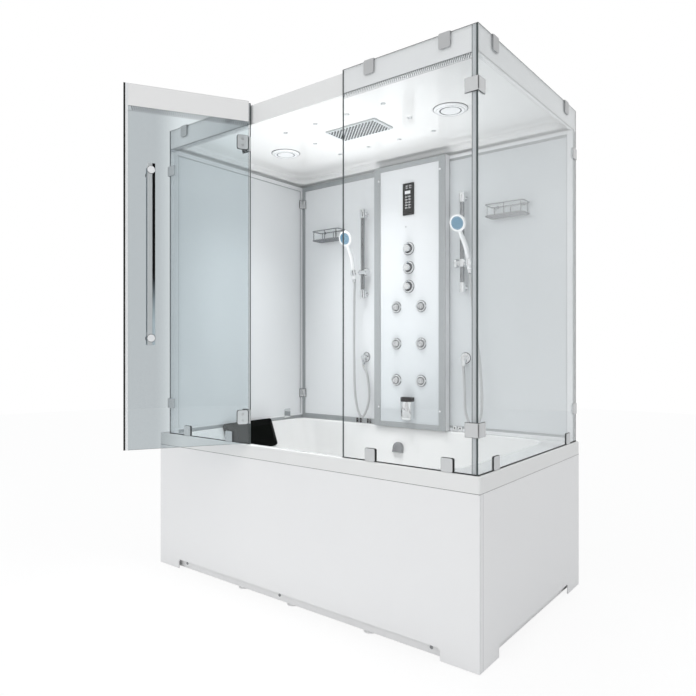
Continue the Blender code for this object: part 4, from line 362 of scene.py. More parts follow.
class Shape:
    """A mesh put together from simple forms, each with its own material."""

    def __init__(self, place=None):
        self.mesh = bmesh.new()
        self.materials = []
        self.place = place or Matrix()

    def slot(self, material):
        if material not in self.materials:
            self.materials.append(material)
        return self.materials.index(material)

    def skin(self, rings, material, caps=(True, True), loop=False):
        """Faces from each ring of points to the next, with a face over each end."""
        index = self.slot(material)
        rows = [[self.mesh.verts.new(self.place @ Vector(p)) for p in ring] for ring in rings]
        faces = []
        pairs = list(zip(rows, rows[1:])) + ([(rows[-1], rows[0])] if loop else [])
        for low, high in pairs:
            for i, start in enumerate(low):
                after = (i + 1) % len(low)
                faces.append(self.mesh.faces.new((start, low[after], high[after], high[i])))
        if not loop:
            for row, capped in zip((rows[0][::-1], rows[-1]), caps):
                if capped:
                    faces.append(self.mesh.faces.new(row))
        for face in faces:
            face.material_index = index
        return faces

    def block(self, low, high, material, axis="Z", corner=0.0, bevel=0.001, edge=None):
        """A box with rounded edges. Its corners round the axis can have a larger radius."""
        low, high = Vector(map(min, low, high)), Vector(map(max, low, high))
        order = {"X": (1, 2, 0), "Y": (0, 2, 1), "Z": (0, 1, 2)}[axis]
        (u0, v0, w0), (u1, v1, w1) = [[p[i] for i in order] for p in (low, high)]
        bevel = min(bevel, 0.45 * (w1 - w0), 0.45 * (u1 - u0), 0.45 * (v1 - v0))
        radius = max(corner, bevel)
        turns = [math.pi / 6 * i for i in range(4)]
        levels = [(bevel * (1 - math.sin(a)), w0 + bevel * (1 - math.cos(a))) for a in turns]
        levels += [(inset, w1 - (w - w0)) for inset, w in reversed(levels)]
        rings = []
        for inset, w in levels:
            outline = rounded(u0 + inset, u1 - inset, v0 + inset, v1 - inset, radius - inset)
            ring = []
            for u, v in outline:
                point = [0.0, 0.0, 0.0]
                for i, value in zip(order, (u, v, w)):
                    point[i] = value
                ring.append(point)
            rings.append(ring)
        faces = self.skin(rings, material)
        if edge:
            for face in faces[:-2]:
                face.material_index = self.slot(edge)

    def turned(self, profile, material, at=(0, 0, 0), direction=(0, 0, 1), sides=48):
        """A profile of radius and height pairs, turned round an axis."""
        place = facing(at, direction)
        rings = []
        for radius, height in profile:
            radius = max(radius, 0.00001)
            ring = []
            for i in range(sides):
                angle = math.tau * i / sides
                ring.append(place @ Vector((radius * math.cos(angle), radius * math.sin(angle), height)))
            rings.append(ring)
        self.skin(rings, material)

    def rod(self, start, end, radius, material, sides=24, edge=0.0008, end_radius=None):
        start, end = Vector(start), Vector(end)
        length = (end - start).length
        last = radius if end_radius is None else end_radius
        edge = min(edge, length * 0.3, radius * 0.3)
        profile = eased([(0, 0), (radius, 0), (last, length), (0, length)], edge)
        self.turned(profile, material, start, end - start, sides)

    def tube(self, path, radius, material, sides=16, loop=False):
        """A tube along a path. radius is one number, or one for each point."""
        path = [Vector(p) for p in path]
        radii = radius if isinstance(radius, (list, tuple)) else [radius] * len(path)
        count = len(path)
        rings, across = [], None
        for i, point in enumerate(path):
            before = path[i - 1] if loop or i else path[i]
            after = path[(i + 1) % count] if loop or i < count - 1 else path[i]
            along = (after - before).normalized()
            if across is None:
                across = along.orthogonal().normalized()
            across = (across - along * across.dot(along)).normalized()
            other = along.cross(across)
            ring = []
            for k in range(sides):
                angle = math.tau * k / sides
                ring.append(point + (across * math.cos(angle) + other * math.sin(angle)) * radii[i])
            rings.append(ring)
        self.skin(rings, material, loop=loop)

    def prism(self, outline, low, high, material, axis="Z", bevel=0.0):
        """An outline of pairs carried from low to high along an axis, with its edges rounded."""
        order = {"X": (1, 2, 0), "Y": (0, 2, 1), "Z": (0, 1, 2)}[axis]
        rings = []
        for w in (low, high):
            ring = []
            for u, v in outline:
                point = [0.0, 0.0, 0.0]
                for i, value in zip(order, (u, v, w)):
                    point[i] = value
                ring.append(point)
            rings.append(ring)
        faces = self.skin(rings, material)
        if bevel:
            bmesh.ops.recalc_face_normals(self.mesh, faces=faces)
            edges = {e for face in faces for e in face.edges if e.calc_face_angle(0) > 0.5}
            bmesh.ops.bevel(
                self.mesh, geom=list(edges), offset=bevel, segments=2, affect="EDGES", clamp_overlap=True
            )

    def cut(self, *tools):
        """Takes other shapes out of this one."""
        target = self.to_object("cut_target")
        for tool in tools:
            cutter = tool.to_object("cutter")
            hollow = target.modifiers.new("hollow", "BOOLEAN")
            hollow.object, hollow.solver = cutter, "EXACT"
            bake(target)
            bpy.data.objects.remove(cutter)
        self.mesh = bmesh.new()
        self.mesh.from_mesh(target.data)
        bpy.data.objects.remove(target)
        return self

    def to_object(self, name):
        bmesh.ops.remove_doubles(self.mesh, verts=self.mesh.verts, dist=0.00003)
        bmesh.ops.recalc_face_normals(self.mesh, faces=self.mesh.faces)
        data = bpy.data.meshes.new(name)
        self.mesh.to_mesh(data)
        self.mesh.free()
        for material in self.materials:
            data.materials.append(material)
        obj = bpy.data.objects.new(name, data)
        scene.collection.objects.link(obj)
        return obj

    def piece(self, name, slot=None, nodes=(), body=CABIN, angle=35.0):
        """The finished piece, smooth across its rounded edges, riding on its body."""
        obj = self.to_object(name)
        return settle(obj, nodes, body, angle)


def bake(obj):
    """Replaces an object's mesh by what its modifiers make of it."""
    graph = bpy.context.evaluated_depsgraph_get()
    data = bpy.data.meshes.new_from_object(obj.evaluated_get(graph))
    obj.modifiers.clear()
    obj.data = data
    return obj


def settle(obj, nodes, body, angle=35.0):
    obj.data.shade_smooth()
    obj.data.set_sharp_from_angle(angle=math.radians(angle))
    even = obj.modifiers.new("even_shading", "WEIGHTED_NORMAL")
    even.keep_sharp = True
    bake(obj)
    if body:
        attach(obj, body)
    if nodes:
        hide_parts(*nodes)
    return obj


# Copies of small forms

def make_copies_tree():
    """Copies of a mesh in rows and columns."""
    geometry, count, vector = "NodeSocketGeometry", "NodeSocketInt", "NodeSocketVector"
    tree, given, made = make_group(
        "copies",
        "GeometryNodeTree",
        [
            ("Form", geometry),
            ("Columns", count),
            ("Step", vector),
            ("Rows", count),
            ("Row step", vector),
            ("Material", "NodeSocketMaterial"),
        ],
        [("Copies", geometry)],
    )
    nodes = tree.nodes
    form = given.outputs["Form"]
    for counted, step in (("Columns", "Step"), ("Rows", "Row step")):
        line = nodes.new("GeometryNodeMeshLine")
        link(tree, given.outputs[counted], line.inputs["Count"])
        link(tree, given.outputs[step], line.inputs["Offset"])
        place = nodes.new("GeometryNodeInstanceOnPoints")
        link(tree, line.outputs["Mesh"], place.inputs["Points"])
        link(tree, form, place.inputs["Instance"])
        real = nodes.new("GeometryNodeRealizeInstances")
        link(tree, place.outputs["Instances"], real.inputs["Geometry"])
        form = real.outputs["Geometry"]
    paint = nodes.new("GeometryNodeSetMaterial")
    link(tree, form, paint.inputs["Geometry"])
    link(tree, given.outputs["Material"], paint.inputs["Material"])
    link(tree, paint.outputs["Geometry"], made.inputs["Copies"])
    return tree


COPIES = make_copies_tree()


def copied(shape, name, material, columns, step, rows=1, row_step=(0, 0, 0), place=None):
    """A shape repeated in rows, as one object with its mesh in place."""
    obj = shape.to_object(name)
    modifier = obj.modifiers.new("copies", "NODES")
    modifier.node_group = COPIES
    values = {
        "Columns": columns,
        "Step": step,
        "Rows": rows,
        "Row step": row_step,
        "Material": material,
    }
    for item in COPIES.interface.items_tree:
        if item.item_type == "SOCKET" and item.in_out == "INPUT" and item.name in values:
            modifier[item.identifier] = values[item.name]
    bake(obj)
    if place:
        obj.data.transform(place)
    return obj


# Tub

def draw_in(share):
    sweep = 1 - (1 - share**3) ** (1 / 3)
    return 0.5 * share + 0.5 * sweep


def basin_sides(share):
    drawn = draw_in(share)
    return (
        -TUB_X + 0.113 + 0.342 * drawn,
        TUB_X - 0.123 - 0.152 * drawn,
        -TUB_Y + 0.032 + 0.168 * drawn,
        TUB_Y - 0.075 - 0.155 * drawn,
    )


def basin_height(share):
    return RIM - 0.462 * share


def level_ring(left, right, front, back, radius, height, steps=10):
    return [Vector((x, y, height)) for x, y in rounded(left, right, front, back, radius, steps)]


def tub():
    rings = [level_ring(-TUB_X, TUB_X, -TUB_Y, TUB_Y, 0.008, RIM - 0.058)]
    for i in range(7):
        angle = math.pi / 12 * i
        inset = 0.006 * (1 - math.cos(angle))
        height = RIM - 0.006 * (1 - math.sin(angle))
        x, y = TUB_X - inset, TUB_Y - inset
        rings.append(level_ring(-x, x, -y, y, 0.008 - inset, height))
    left, right, front, back = basin_sides(0.0)
    for i in range(7):
        angle = math.pi / 12 * i
        grow = 0.010 * (1 - math.sin(angle))
        height = RIM - 0.010 * (1 - math.cos(angle))
        rings.append(level_ring(left - grow, right + grow, front - grow, back + grow, 0.120 + grow, height))
    first = math.asin(0.36**1.5)
    shares = [0.04, 0.36]
    shares += [math.sin(first + (math.pi / 2 - first) * i / 20) ** (2 / 3) for i in range(1, 21)]
    for share in shares:
        corner = 0.120 - 0.020 * draw_in(share)
        rings.append(level_ring(*basin_sides(share), corner, basin_height(share)))
    shape = Shape()
    shape.skin(rings, ACRYLIC, caps=(False, True))
    shell = shape.to_object("tub_shell")
    floor = max(shell.data.polygons, key=lambda face: face.area)
    if floor.normal.z < 0:
        shell.data.flip_normals()
    wall = shell.modifiers.new("wall", "SOLIDIFY")
    wall.thickness, wall.offset, wall.use_even_offset = 0.005, -1.0, True
    bake(shell)
    solid = Shape()
    solid.materials = [ACRYLIC]
    solid.mesh.from_mesh(shell.data)
    bpy.data.objects.remove(shell)
    drain = Shape()
    drain.rod((0.130, 0.050, 0.170), (0.130, 0.050, 0.200), 0.026, ACRYLIC, 48)
    overflow = Shape()
    place, up = overflow_place()
    out = Vector((1, 0, 0)).cross(up)
    overflow.rod(place + out * 0.01, place - out * 0.02, 0.015, ACRYLIC, 32)
    solid.cut(drain, overflow).piece("bath_shell", "acrylic", ["tub"])


def overflow_place():
    high = Vector((-0.040, basin_sides(0.04)[3], basin_height(0.04)))
    low = Vector((-0.040, basin_sides(0.36)[3], basin_height(0.36)))
    return high.lerp(low, 0.60), (high - low).normalized()


def backrest_place():
    high = Vector((basin_sides(0.04)[0], -0.020, basin_height(0.04)))
    low = Vector((basin_sides(0.36)[0], -0.020, basin_height(0.36)))
    up = (high - low).normalized()
    return high + up * ((0.668 - high.z) / up.z), up


# Aprons and the frame under the tub

def kicked(start, end, foot, top):
    """A board's outline with a low toe space that has rounded corners."""
    low, kick, corner = 0.002, 0.045, 0.012
    points = [(start, low), (start + foot, low)]
    for i in range(9):
        angle = math.pi / 16 * i
        points.append((start + foot + corner * (1 - math.cos(angle)), kick - corner * (1 - math.sin(angle))))
    for i in range(8, -1, -1):
        angle = math.pi / 16 * i
        points.append((end - foot - corner * (1 - math.cos(angle)), kick - corner * (1 - math.sin(angle))))
    return points + [(end - foot, low), (end, low), (end, top), (start, top)]


def aprons():
    x, y, top = TUB_X - 0.001, -TUB_Y + 0.001, RIM - 0.0583
    front = Shape()
    front.prism(kicked(-x, x, 0.150, top), y, y + 0.005, APRON, "Y", 0.0012)
    front.block((-x, y + 0.004, 0.002), (-x + 0.005, y + 0.040, top), APRON, "X")
    front.piece("front_apron_board", "apron", ["front_apron"])
    back = TUB_Y - 0.001
    side = Shape()
    side.prism(kicked(y + 0.0056, back, 0.1445, top), x - 0.005, x, APRON, "X", 0.0012)
    side.block((x - 0.040, back - 0.005, 0.002), (x - 0.004, back, top), APRON, "Y")
    side.piece("side_apron_board", "apron", ["side_apron"])
    joints = Shape()
    # Painted shadow: the two thin dark strips where the bath lip meets the aprons. The grey strip is a seam near the
    # front corner.
    joints.block((-x, y - 0.0001, top - 0.0016), (x, y + 0.0040, top + 0.0003), DARK_GAPS_AND_SHADE, "Z", bevel=0.0001)
    joints.block((x - 0.0040, y, top - 0.0016), (x + 0.0001, back, top + 0.0003), DARK_GAPS_AND_SHADE, "Z", bevel=0.0001)
    joints.block((x - 0.0010, y + 0.0235, 0.004), (x + 0.0001, y + 0.0250, top - 0.002), GREY, "Z", bevel=0.0001)
    joints.piece("apron_shadow_lines_and_seam", "rubber")


def base_frame():
    x, y, foot, top, half = 0.849, 0.474, 0.014, 0.054, 0.015
    shape = Shape()
    for side in (-1, 1):
        shape.block((-x, side * y, 0.0035), (x, side * (y - 0.030), top), COATED, "X", bevel=0.002)
    middle = y - half
    places = (-x + half, -0.300, 0.0, 0.400, x - half)
    for place in places:
        low = (place - half + 0.001, -middle, 0.0045)
        shape.block(low, (place + half - 0.001, middle, top - 0.001), COATED, "Y", bevel=0.002)
    posts = [(a * (x - half), b * middle, 0.647) for a in (-1, 1) for b in (-1, 1)]
    posts += [(rail, a * 0.180, 0.185) for rail in (-0.300, 0.400) for a in (-1, 1)]
    for px, py, height in posts:
        side = half - 0.002
        low = (px - side, py - side, foot + 0.002)
        shape.block(low, (px + side, py + side, height - GAP), STEEL, bevel=0.002)
    for px, py in [(place, end * middle) for place in places for end in (-1, 1)] + [(0.0, 0.0)]:
        foot_profile = eased([(0, 0), (0.025, 0), (0.025, 0.0022), (0.012, 0.0045), (0, 0.010)], 0.001)
        shape.turned(foot_profile, COATED, (px, py, 0), sides=32)
        shape.rod((px, py, 0.005), (px, py, foot + half), 0.006, STEEL, 16)
        shape.rod((px, py, 0.0095), (px, py, foot - 0.0003), 0.010, STEEL, 6)
    shape.piece("base_rails", "steel", ["base_frame"])


def screw_head(shape, at, direction, radius=0.004, height=0.0016, material=None):
    """A low domed screw head with a hexagon socket."""
    profile = [(0, height * 0.4), (radius * 0.45, height * 0.4), (radius * 0.5, height), (radius * 0.75, height)]
    profile += [(radius, height * 0.45), (radius, 0), (0, 0)]
    shape.turned(profile, material or CHROME, at, direction, 24)


def base_screws():
    shape = Shape()
    for x in (-0.689, -0.064, 0.677):
        screw_head(shape, (x, -0.474, 0.026), (0, -1, 0), 0.0065, 0.003, GREY)
    shape.piece("rail_screws", "steel")


# Waste, plug and overflow

def waste():
    x, y, top = 0.130, 0.050, 0.190 - 0.005 - GAP
    bottom, bore, under = top - 0.085, 0.041, top - 0.008
    shape = Shape()
    profile = [(0, bottom + 0.004), (bore, bottom + 0.004), (bore, top), (0.055, top), (0.055, under)]
    profile += [(0.0465, under), (0.0465, under - 0.014), (0.045, under - 0.016), (0.045, bottom), (0, bottom)]
    shape.turned(eased(profile, 0.0012), GREY, (x, y, 0))
    outlet = bottom + 0.024
    shape.rod((x, y + 0.043, outlet), (x, 0.440, outlet), 0.020, GREY, 32)
    place, up = overflow_place()
    out = up.cross(Vector((1, 0, 0)))
    start = place + out * (0.005 + GAP)
    behind = start.y + 0.038
    inlet = under - 0.017
    route = [
        start,
        start + out * 0.038,
        (-0.040, behind, inlet + 0.038),
        (-0.040, behind - 0.038, inlet),
        (-0.040, y + 0.038, inlet),
        (-0.040 + 0.038, y, inlet),
        (x - 0.043, y, inlet),
    ]
    shape.tube(eased(route, 0.018, 8), 0.013, GREY, 24)
    shape.rod(start, start + out * 0.004, 0.026, GREY, 32)
    inner = Shape()
    inner.rod((x, y + 0.02, outlet), (x, 0.460, outlet), 0.016, GREY, 32)
    shape.cut(inner).piece("waste_fitting", "grey", ["waste_trap"])
    ring = Shape()
    ring.turned(
        eased([(0.0348, 0.0), (0.0348, 0.0014), (0.040, 0.0018), (0.0430, 0.0002), (0.0430, 0.0), (0.0348, 0.0)],
              0.0005),
        CHROME, (x, y, 0.1901),
    )
    ring.piece("drain_ring", "chrome")
    plug = Shape()
    dome = [(0.034 * math.sin(math.pi / 24 * i), 0.0025 + 0.0075 * math.cos(math.pi / 24 * i)) for i in range(13)]
    dome += [(0.034, GAP), (0.005, GAP), (0.005, -0.040), (0, -0.040)]
    plug.turned(dome, CHROME, (x, y, 0.190), sides=64)
    plug.piece("plug_dome", "chrome", ["drain_plug"], "plug")


def d_ring(half, reach, radius, inset, height, steps=10):
    """A D seen from above: flat along y 0, with rounded far corners. Corners near y 0 stay square."""
    points = [(-half + inset, 0.0), (half - inset, 0.0)]
    radius = max(radius - inset, 0.00005)
    for i in range(steps + 1):
        angle = math.pi / 2 * i / steps
        points.append((half - inset - radius + radius * math.cos(angle),
                       reach - inset - radius + radius * math.sin(angle)))
    for i in range(steps + 1):
        angle = math.pi / 2 * (1 + i / steps)
        points.append((-half + inset + radius + radius * math.cos(angle),
                       reach - inset - radius + radius * math.sin(angle)))
    return [Vector((u, v, height)) for u, v in points]


def seat(origin, across, up):
    """A place whose X runs across and whose Y runs up, with Z outward."""
    across, up = Vector(across).normalized(), Vector(up).normalized()
    out = across.cross(up)
    turn = Matrix((across, up, out)).transposed().to_4x4()
    return Matrix.Translation(origin) @ turn


def overflow_cover():
    place, up = overflow_place()
    shape = Shape(seat(place - up * 0.028, (1, 0, 0), up))
    steps = [(0.0, GAP), (0.0, 0.012)] + [
        (0.006 * (1 - math.cos(math.pi / 10 * i)), 0.012 + 0.006 * math.sin(math.pi / 10 * i)) for i in range(1, 6)
    ]
    shape.skin([d_ring(0.031, 0.056, 0.031, *step) for step in steps], TUBE)
    slits = Shape(shape.place)
    for i in range(4):
        low = 0.056 / 6 * (i + 1)
        slits.block((-0.016, low, 0.010), (0.016, low + 0.003, 0.030), DARK_GAPS_AND_SHADE, bevel=0.0005)
    shape.cut(slits)
    shape.piece("overflow_hood", "chrome", ["overflow_cover"])


def pillow():
    place, up = backrest_place()
    shape = Shape(seat(place, (0, 1, 0), up))
    profile = eased([(h, i, 0) for h, i in
                     ((0.0, 0.05), (0.15, 0.0), (0.50, 0.05), (0.97, 0.90), (1.0, 1.0))], 0.03, 3)
    rings = []
    for height, inset, _ in profile:
        drawn = 0.045 * inset
        outline = rounded(-0.170 + drawn, 0.170 - drawn, -0.160 + drawn, -drawn, 0.014, 8)
        rings.append([(u, v, 0.0010 + 0.050 * height) for u, v in outline])
    shape.skin(rings, FOAM)
    cushion = shape.piece("head_cushion", "foam", ["pillow"], angle=60)


def steam_generator():
    low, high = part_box("steam_generator")
    top = high.z - 0.020
    shape = Shape()
    shape.block(low, (high.x, high.y, top - 0.030), WHITE, corner=0.008, bevel=0.003)
    shape.block((low.x + 0.001, low.y + 0.001, top - 0.032), (high.x - 0.001, high.y - 0.001, top - 0.028), DARK_GAPS_AND_SHADE)
    shape.block((low.x, low.y, top - 0.0285), (high.x, high.y, top), WHITE, corner=0.008, bevel=0.004)
    middle = (low.x + high.x) / 2
    for side in (-1, 1):
        y = side * 0.075
        shape.rod((middle, y, top - 0.004), (middle, y, high.z), 0.011, BRASS)
        shape.rod((middle, y, top), (middle, y, top + 0.006), 0.014, BRASS, 6)
    for z in (low.z + 0.030, top - 0.060):
        for y in (-0.120, 0.120):
            screw_head(shape, (low.x, y, z), (-1, 0, 0), 0.004, 0.0)
    shape.piece("steam_box", "satin_metal", ["steam_generator"])


# Glass walls

def pane(name, low, high, axis, material, nodes, body=CABIN, place=None):
    shape = Shape(place)
    shape.block(low, high, material, axis, bevel=0.0006, edge=EDGE)
    return shape.piece(name, "glass", nodes, body)


def print_strip(name, start, end, depth, axis, place=None, body=CABIN, ticks=TICKS):
    """The white band printed behind the top of a pane, with a row of slanted ticks under it."""
    a, b = sorted(depth)
    if axis == "Y":
        corners = (start, a, PRINT_FOOT), (end, b, UNIT_TOP - 0.001)
    else:
        corners = (a, start, PRINT_FOOT), (b, end, UNIT_TOP - 0.001)
    band = Shape(place)
    band.block(*corners, PRINT, axis, bevel=0.00005)
    band.piece(name + "_band", None, (), body)
    if not ticks:
        return
    tick, pitch = Shape(), 0.0086
    outline = [(0, 0), (0.0036, 0), (0.0092, 0.0165), (0.0056, 0.0165)]
    tick.prism(outline, a, b, ticks, "Y")
    count = int((end - start - 0.014) / pitch)
    base = Matrix.Translation((start + 0.002, 0, PRINT_FOOT - 0.0180))
    row = copied(tick, name + "_ticks", ticks, count, (pitch, 0, 0), place=(place or Matrix()) @ base)
    settle(row, (), body)
    lines = Shape(place)
    for z in (PRINT_FOOT - 0.0015, PRINT_FOOT - 0.0215):
        lines.block((start, a, z), (end, b, z + 0.0012), TICKS, axis, bevel=0.00005)
    lines.piece(name + "_lines", None, (), body)


def foot_clamp(shape, x, depth, axis="Y", width=0.046, height=0.048):
    """A block round the foot of a pane. depth is where the pane's faces are."""
    near, far = sorted(depth)
    low_z, high_z = WALL_FOOT, WALL_FOOT + height
    left, right = x - width / 2, x + width / 2

    def at(along, across, z):
        return (along, across, z) if axis == "Y" else (across, along, z)

    for a, b, skin in ((near - 0.004, near - GAP, near - 0.0018), (far + GAP, far + 0.004, far + 0.0018)):
        start, end = sorted((skin, near if skin < near else far))
        shape.block(at(left, a, low_z), at(right, b, high_z), POLISHED, axis, corner=0.006, bevel=0.0009)
        # The rubber reaches 3.5 mm past the plate on the right but only 1 mm on the left; the extra dark on the right
        # is painted shadow.
        shape.block(at(left - 0.001, start, low_z), at(right + 0.0035, end, high_z + 0.001), RUBBER, axis, 0.006,
                    0.0003)


def glass_walls():
    left, right = -TUB_X + 0.069, SIDE_IN - GAP
    faces = (FRONT, FRONT_BACK)
    pane("front_left_pane", (left, FRONT, WALL_FOOT), (DOOR_LEFT, FRONT_BACK, UNIT_TOP), "Y", CLEAR,
         ["front_left_glass"])
    pane("front_right_pane", (DOOR_RIGHT, FRONT, WALL_FOOT), (right, FRONT_BACK, UNIT_TOP), "Y", CLEAR,
         ["front_right_glass"])
    # The side pane uses the darker glass, which is painted shade.
    pane("side_pane", (SIDE_IN, FRONT, WALL_FOOT), (SIDE_OUT, WALL_BACK, UNIT_TOP), "X", SIDE_GLASS_SHADED, ["side_glass"])
    behind = (FRONT_BACK + 0.0002, FRONT_BACK + 0.0005)
    print_strip("front_left", left + 0.001, DOOR_LEFT - 0.001, behind, "Y")
    print_strip("front_right", DOOR_RIGHT + 0.001, right - 0.001, behind, "Y")
    print_strip("side", FRONT_BACK + 0.001, WALL_BACK - 0.001, (SIDE_IN - 0.0005, SIDE_IN - 0.0002), "X", ticks=None)
    clamps = Shape()
    for offset in (0.142, 0.441):
        foot_clamp(clamps, left + offset, faces)
    clamps.piece("front_left_feet", "satin_metal", ["front_left_glass"])
    clamps = Shape()
    for offset in (0.110, 0.434):
        foot_clamp(clamps, right - offset, faces)
    clamps.piece("front_right_feet", "satin_metal", ["front_right_glass"])
    clamps = Shape()
    for offset in (0.138, 0.869):
        foot_clamp(clamps, FRONT + offset, (SIDE_IN, SIDE_OUT), "X")
    clamps.piece("side_feet", "satin_metal", ["side_glass"])
    seal = Shape()
    for start, end in ((left, DOOR_LEFT), (DOOR_RIGHT, right)):
        seal.block((start, FRONT - 0.0008, WALL_FOOT), (end, FRONT - 0.0002, WALL_FOOT + 0.004), RUBBER, "Y",
                   bevel=0.0002)
    seal.block((SIDE_OUT + 0.0002, FRONT, WALL_FOOT), (SIDE_OUT + 0.0008, WALL_BACK, WALL_FOOT + 0.004), RUBBER, "X",
               bevel=0.0002)
    seal.piece("pane_foot_seal", "rubber")
    seams, behind = Shape(), (FRONT_BACK + 0.0001, FRONT_BACK + 0.0009)
    for start, end in ((-0.2330, -0.2292), (0.2927, 0.2965), (left + 0.0002, left + 0.0030)):
        seams.block((start, behind[0], WALL_FOOT), (end, behind[1], UNIT_TOP - 0.001), EDGE, "Y", bevel=0.0001)
    corner = right - 0.0003
    for start, end, material in ((corner - 0.0185, corner - 0.0160, EDGE), (corner - 0.0160, corner - 0.0020, SEAM),
                                 (corner - 0.0020, corner, EDGE)):
        seams.block((start, behind[0], WALL_FOOT), (end, behind[1], UNIT_TOP - 0.001), material, "Y", bevel=0.0001)
    seams.piece("pane_edge_seams", "rubber")


def corner_clamps():
    plate, size, half = 0.004, 0.048, 0.024
    for level, z in zip(("lower", "upper"), CLAMP_HEIGHTS):
        low, high = z - half, z + half
        x, y = SIDE_OUT + GAP + plate, FRONT - GAP - plate
        inner_x, inner_y = SIDE_IN - GAP, FRONT_BACK + GAP
        shape = Shape()
        shape.block((SIDE_OUT - size, y, low), (x, FRONT - GAP, high), POLISHED, "Y", 0.002, 0.0009)
        shape.block((SIDE_OUT + GAP, y, low), (x, FRONT + size, high), POLISHED, "X", 0.002, 0.0009)
        shape.block((SIDE_OUT - size, inner_y, low), (inner_x, inner_y + plate, high), POLISHED, "Y", 0.002, 0.0009)
        shape.block((inner_x - plate, inner_y, low), (inner_x, FRONT + size, high), POLISHED, "X", 0.002, 0.0009)
        shape.block((SIDE_OUT - size - 0.0015, FRONT - GAP, low - 0.0015),
                    (SIDE_OUT + GAP, FRONT - 0.0001, high + 0.0015), RUBBER, "Y", 0.002, 0.0001)
        shape.block((SIDE_OUT + 0.0001, FRONT, low - 0.0015), (SIDE_OUT + GAP, FRONT + size + 0.0025, high + 0.0015),
                    RUBBER, "X", 0.002, 0.0001)
        shape.rod((SIDE_OUT - half, inner_y + plate, z), (SIDE_OUT - half, inner_y + plate + 0.0001, z), 0.007,
                  POLISHED)
        shape.piece(f"right_corner_clamp_{level}", "satin_metal", [f"front_right_clamp_{level}"])
        x = WALL_LEFT - GAP - plate
        shape = Shape()
        shape.block((x, y, low), (WALL_LEFT + size, FRONT - GAP, high), POLISHED, "Y", 0.002, 0.0009)
        shape.block((x, y, low), (WALL_LEFT - GAP, FRONT + size, high), POLISHED, "X", 0.002, 0.0009)
        screw = (WALL_LEFT + half, FRONT_BACK + 0.012, z)
        shape.rod((WALL_LEFT + half, FRONT - 0.002, z), screw, 0.0044, POLISHED)
        shape.piece(f"left_corner_clamp_{level}", "satin_metal", [f"front_left_clamp_{level}"])


def framed(shape, outer, window, depth, axis, material, bevel=0.0012):
    """Four bars round a window. outer and window are pairs of corners in the wall's plane."""
    (u0, v0), (u1, v1) = outer
    (a0, b0), (a1, b1) = window
    near, far = depth

    def at(u, v, w):
        return (u, w, v) if axis == "Y" else (w, u, v)

    for low, high in (((u0, v0), (a0, v1)), ((a1, v0), (u1, v1)), ((a0, v0), (a1, b0)), ((a0, b1), (a1, v1))):
        shape.block(at(*low, near), at(*high, far), material, axis, bevel=bevel)


CLIP_SPANS = ((-0.356, -0.338), (-0.332, -0.314), (-0.281, -0.266), (-0.262, -0.249), (0.259, 0.285),
              (0.290, 0.316))


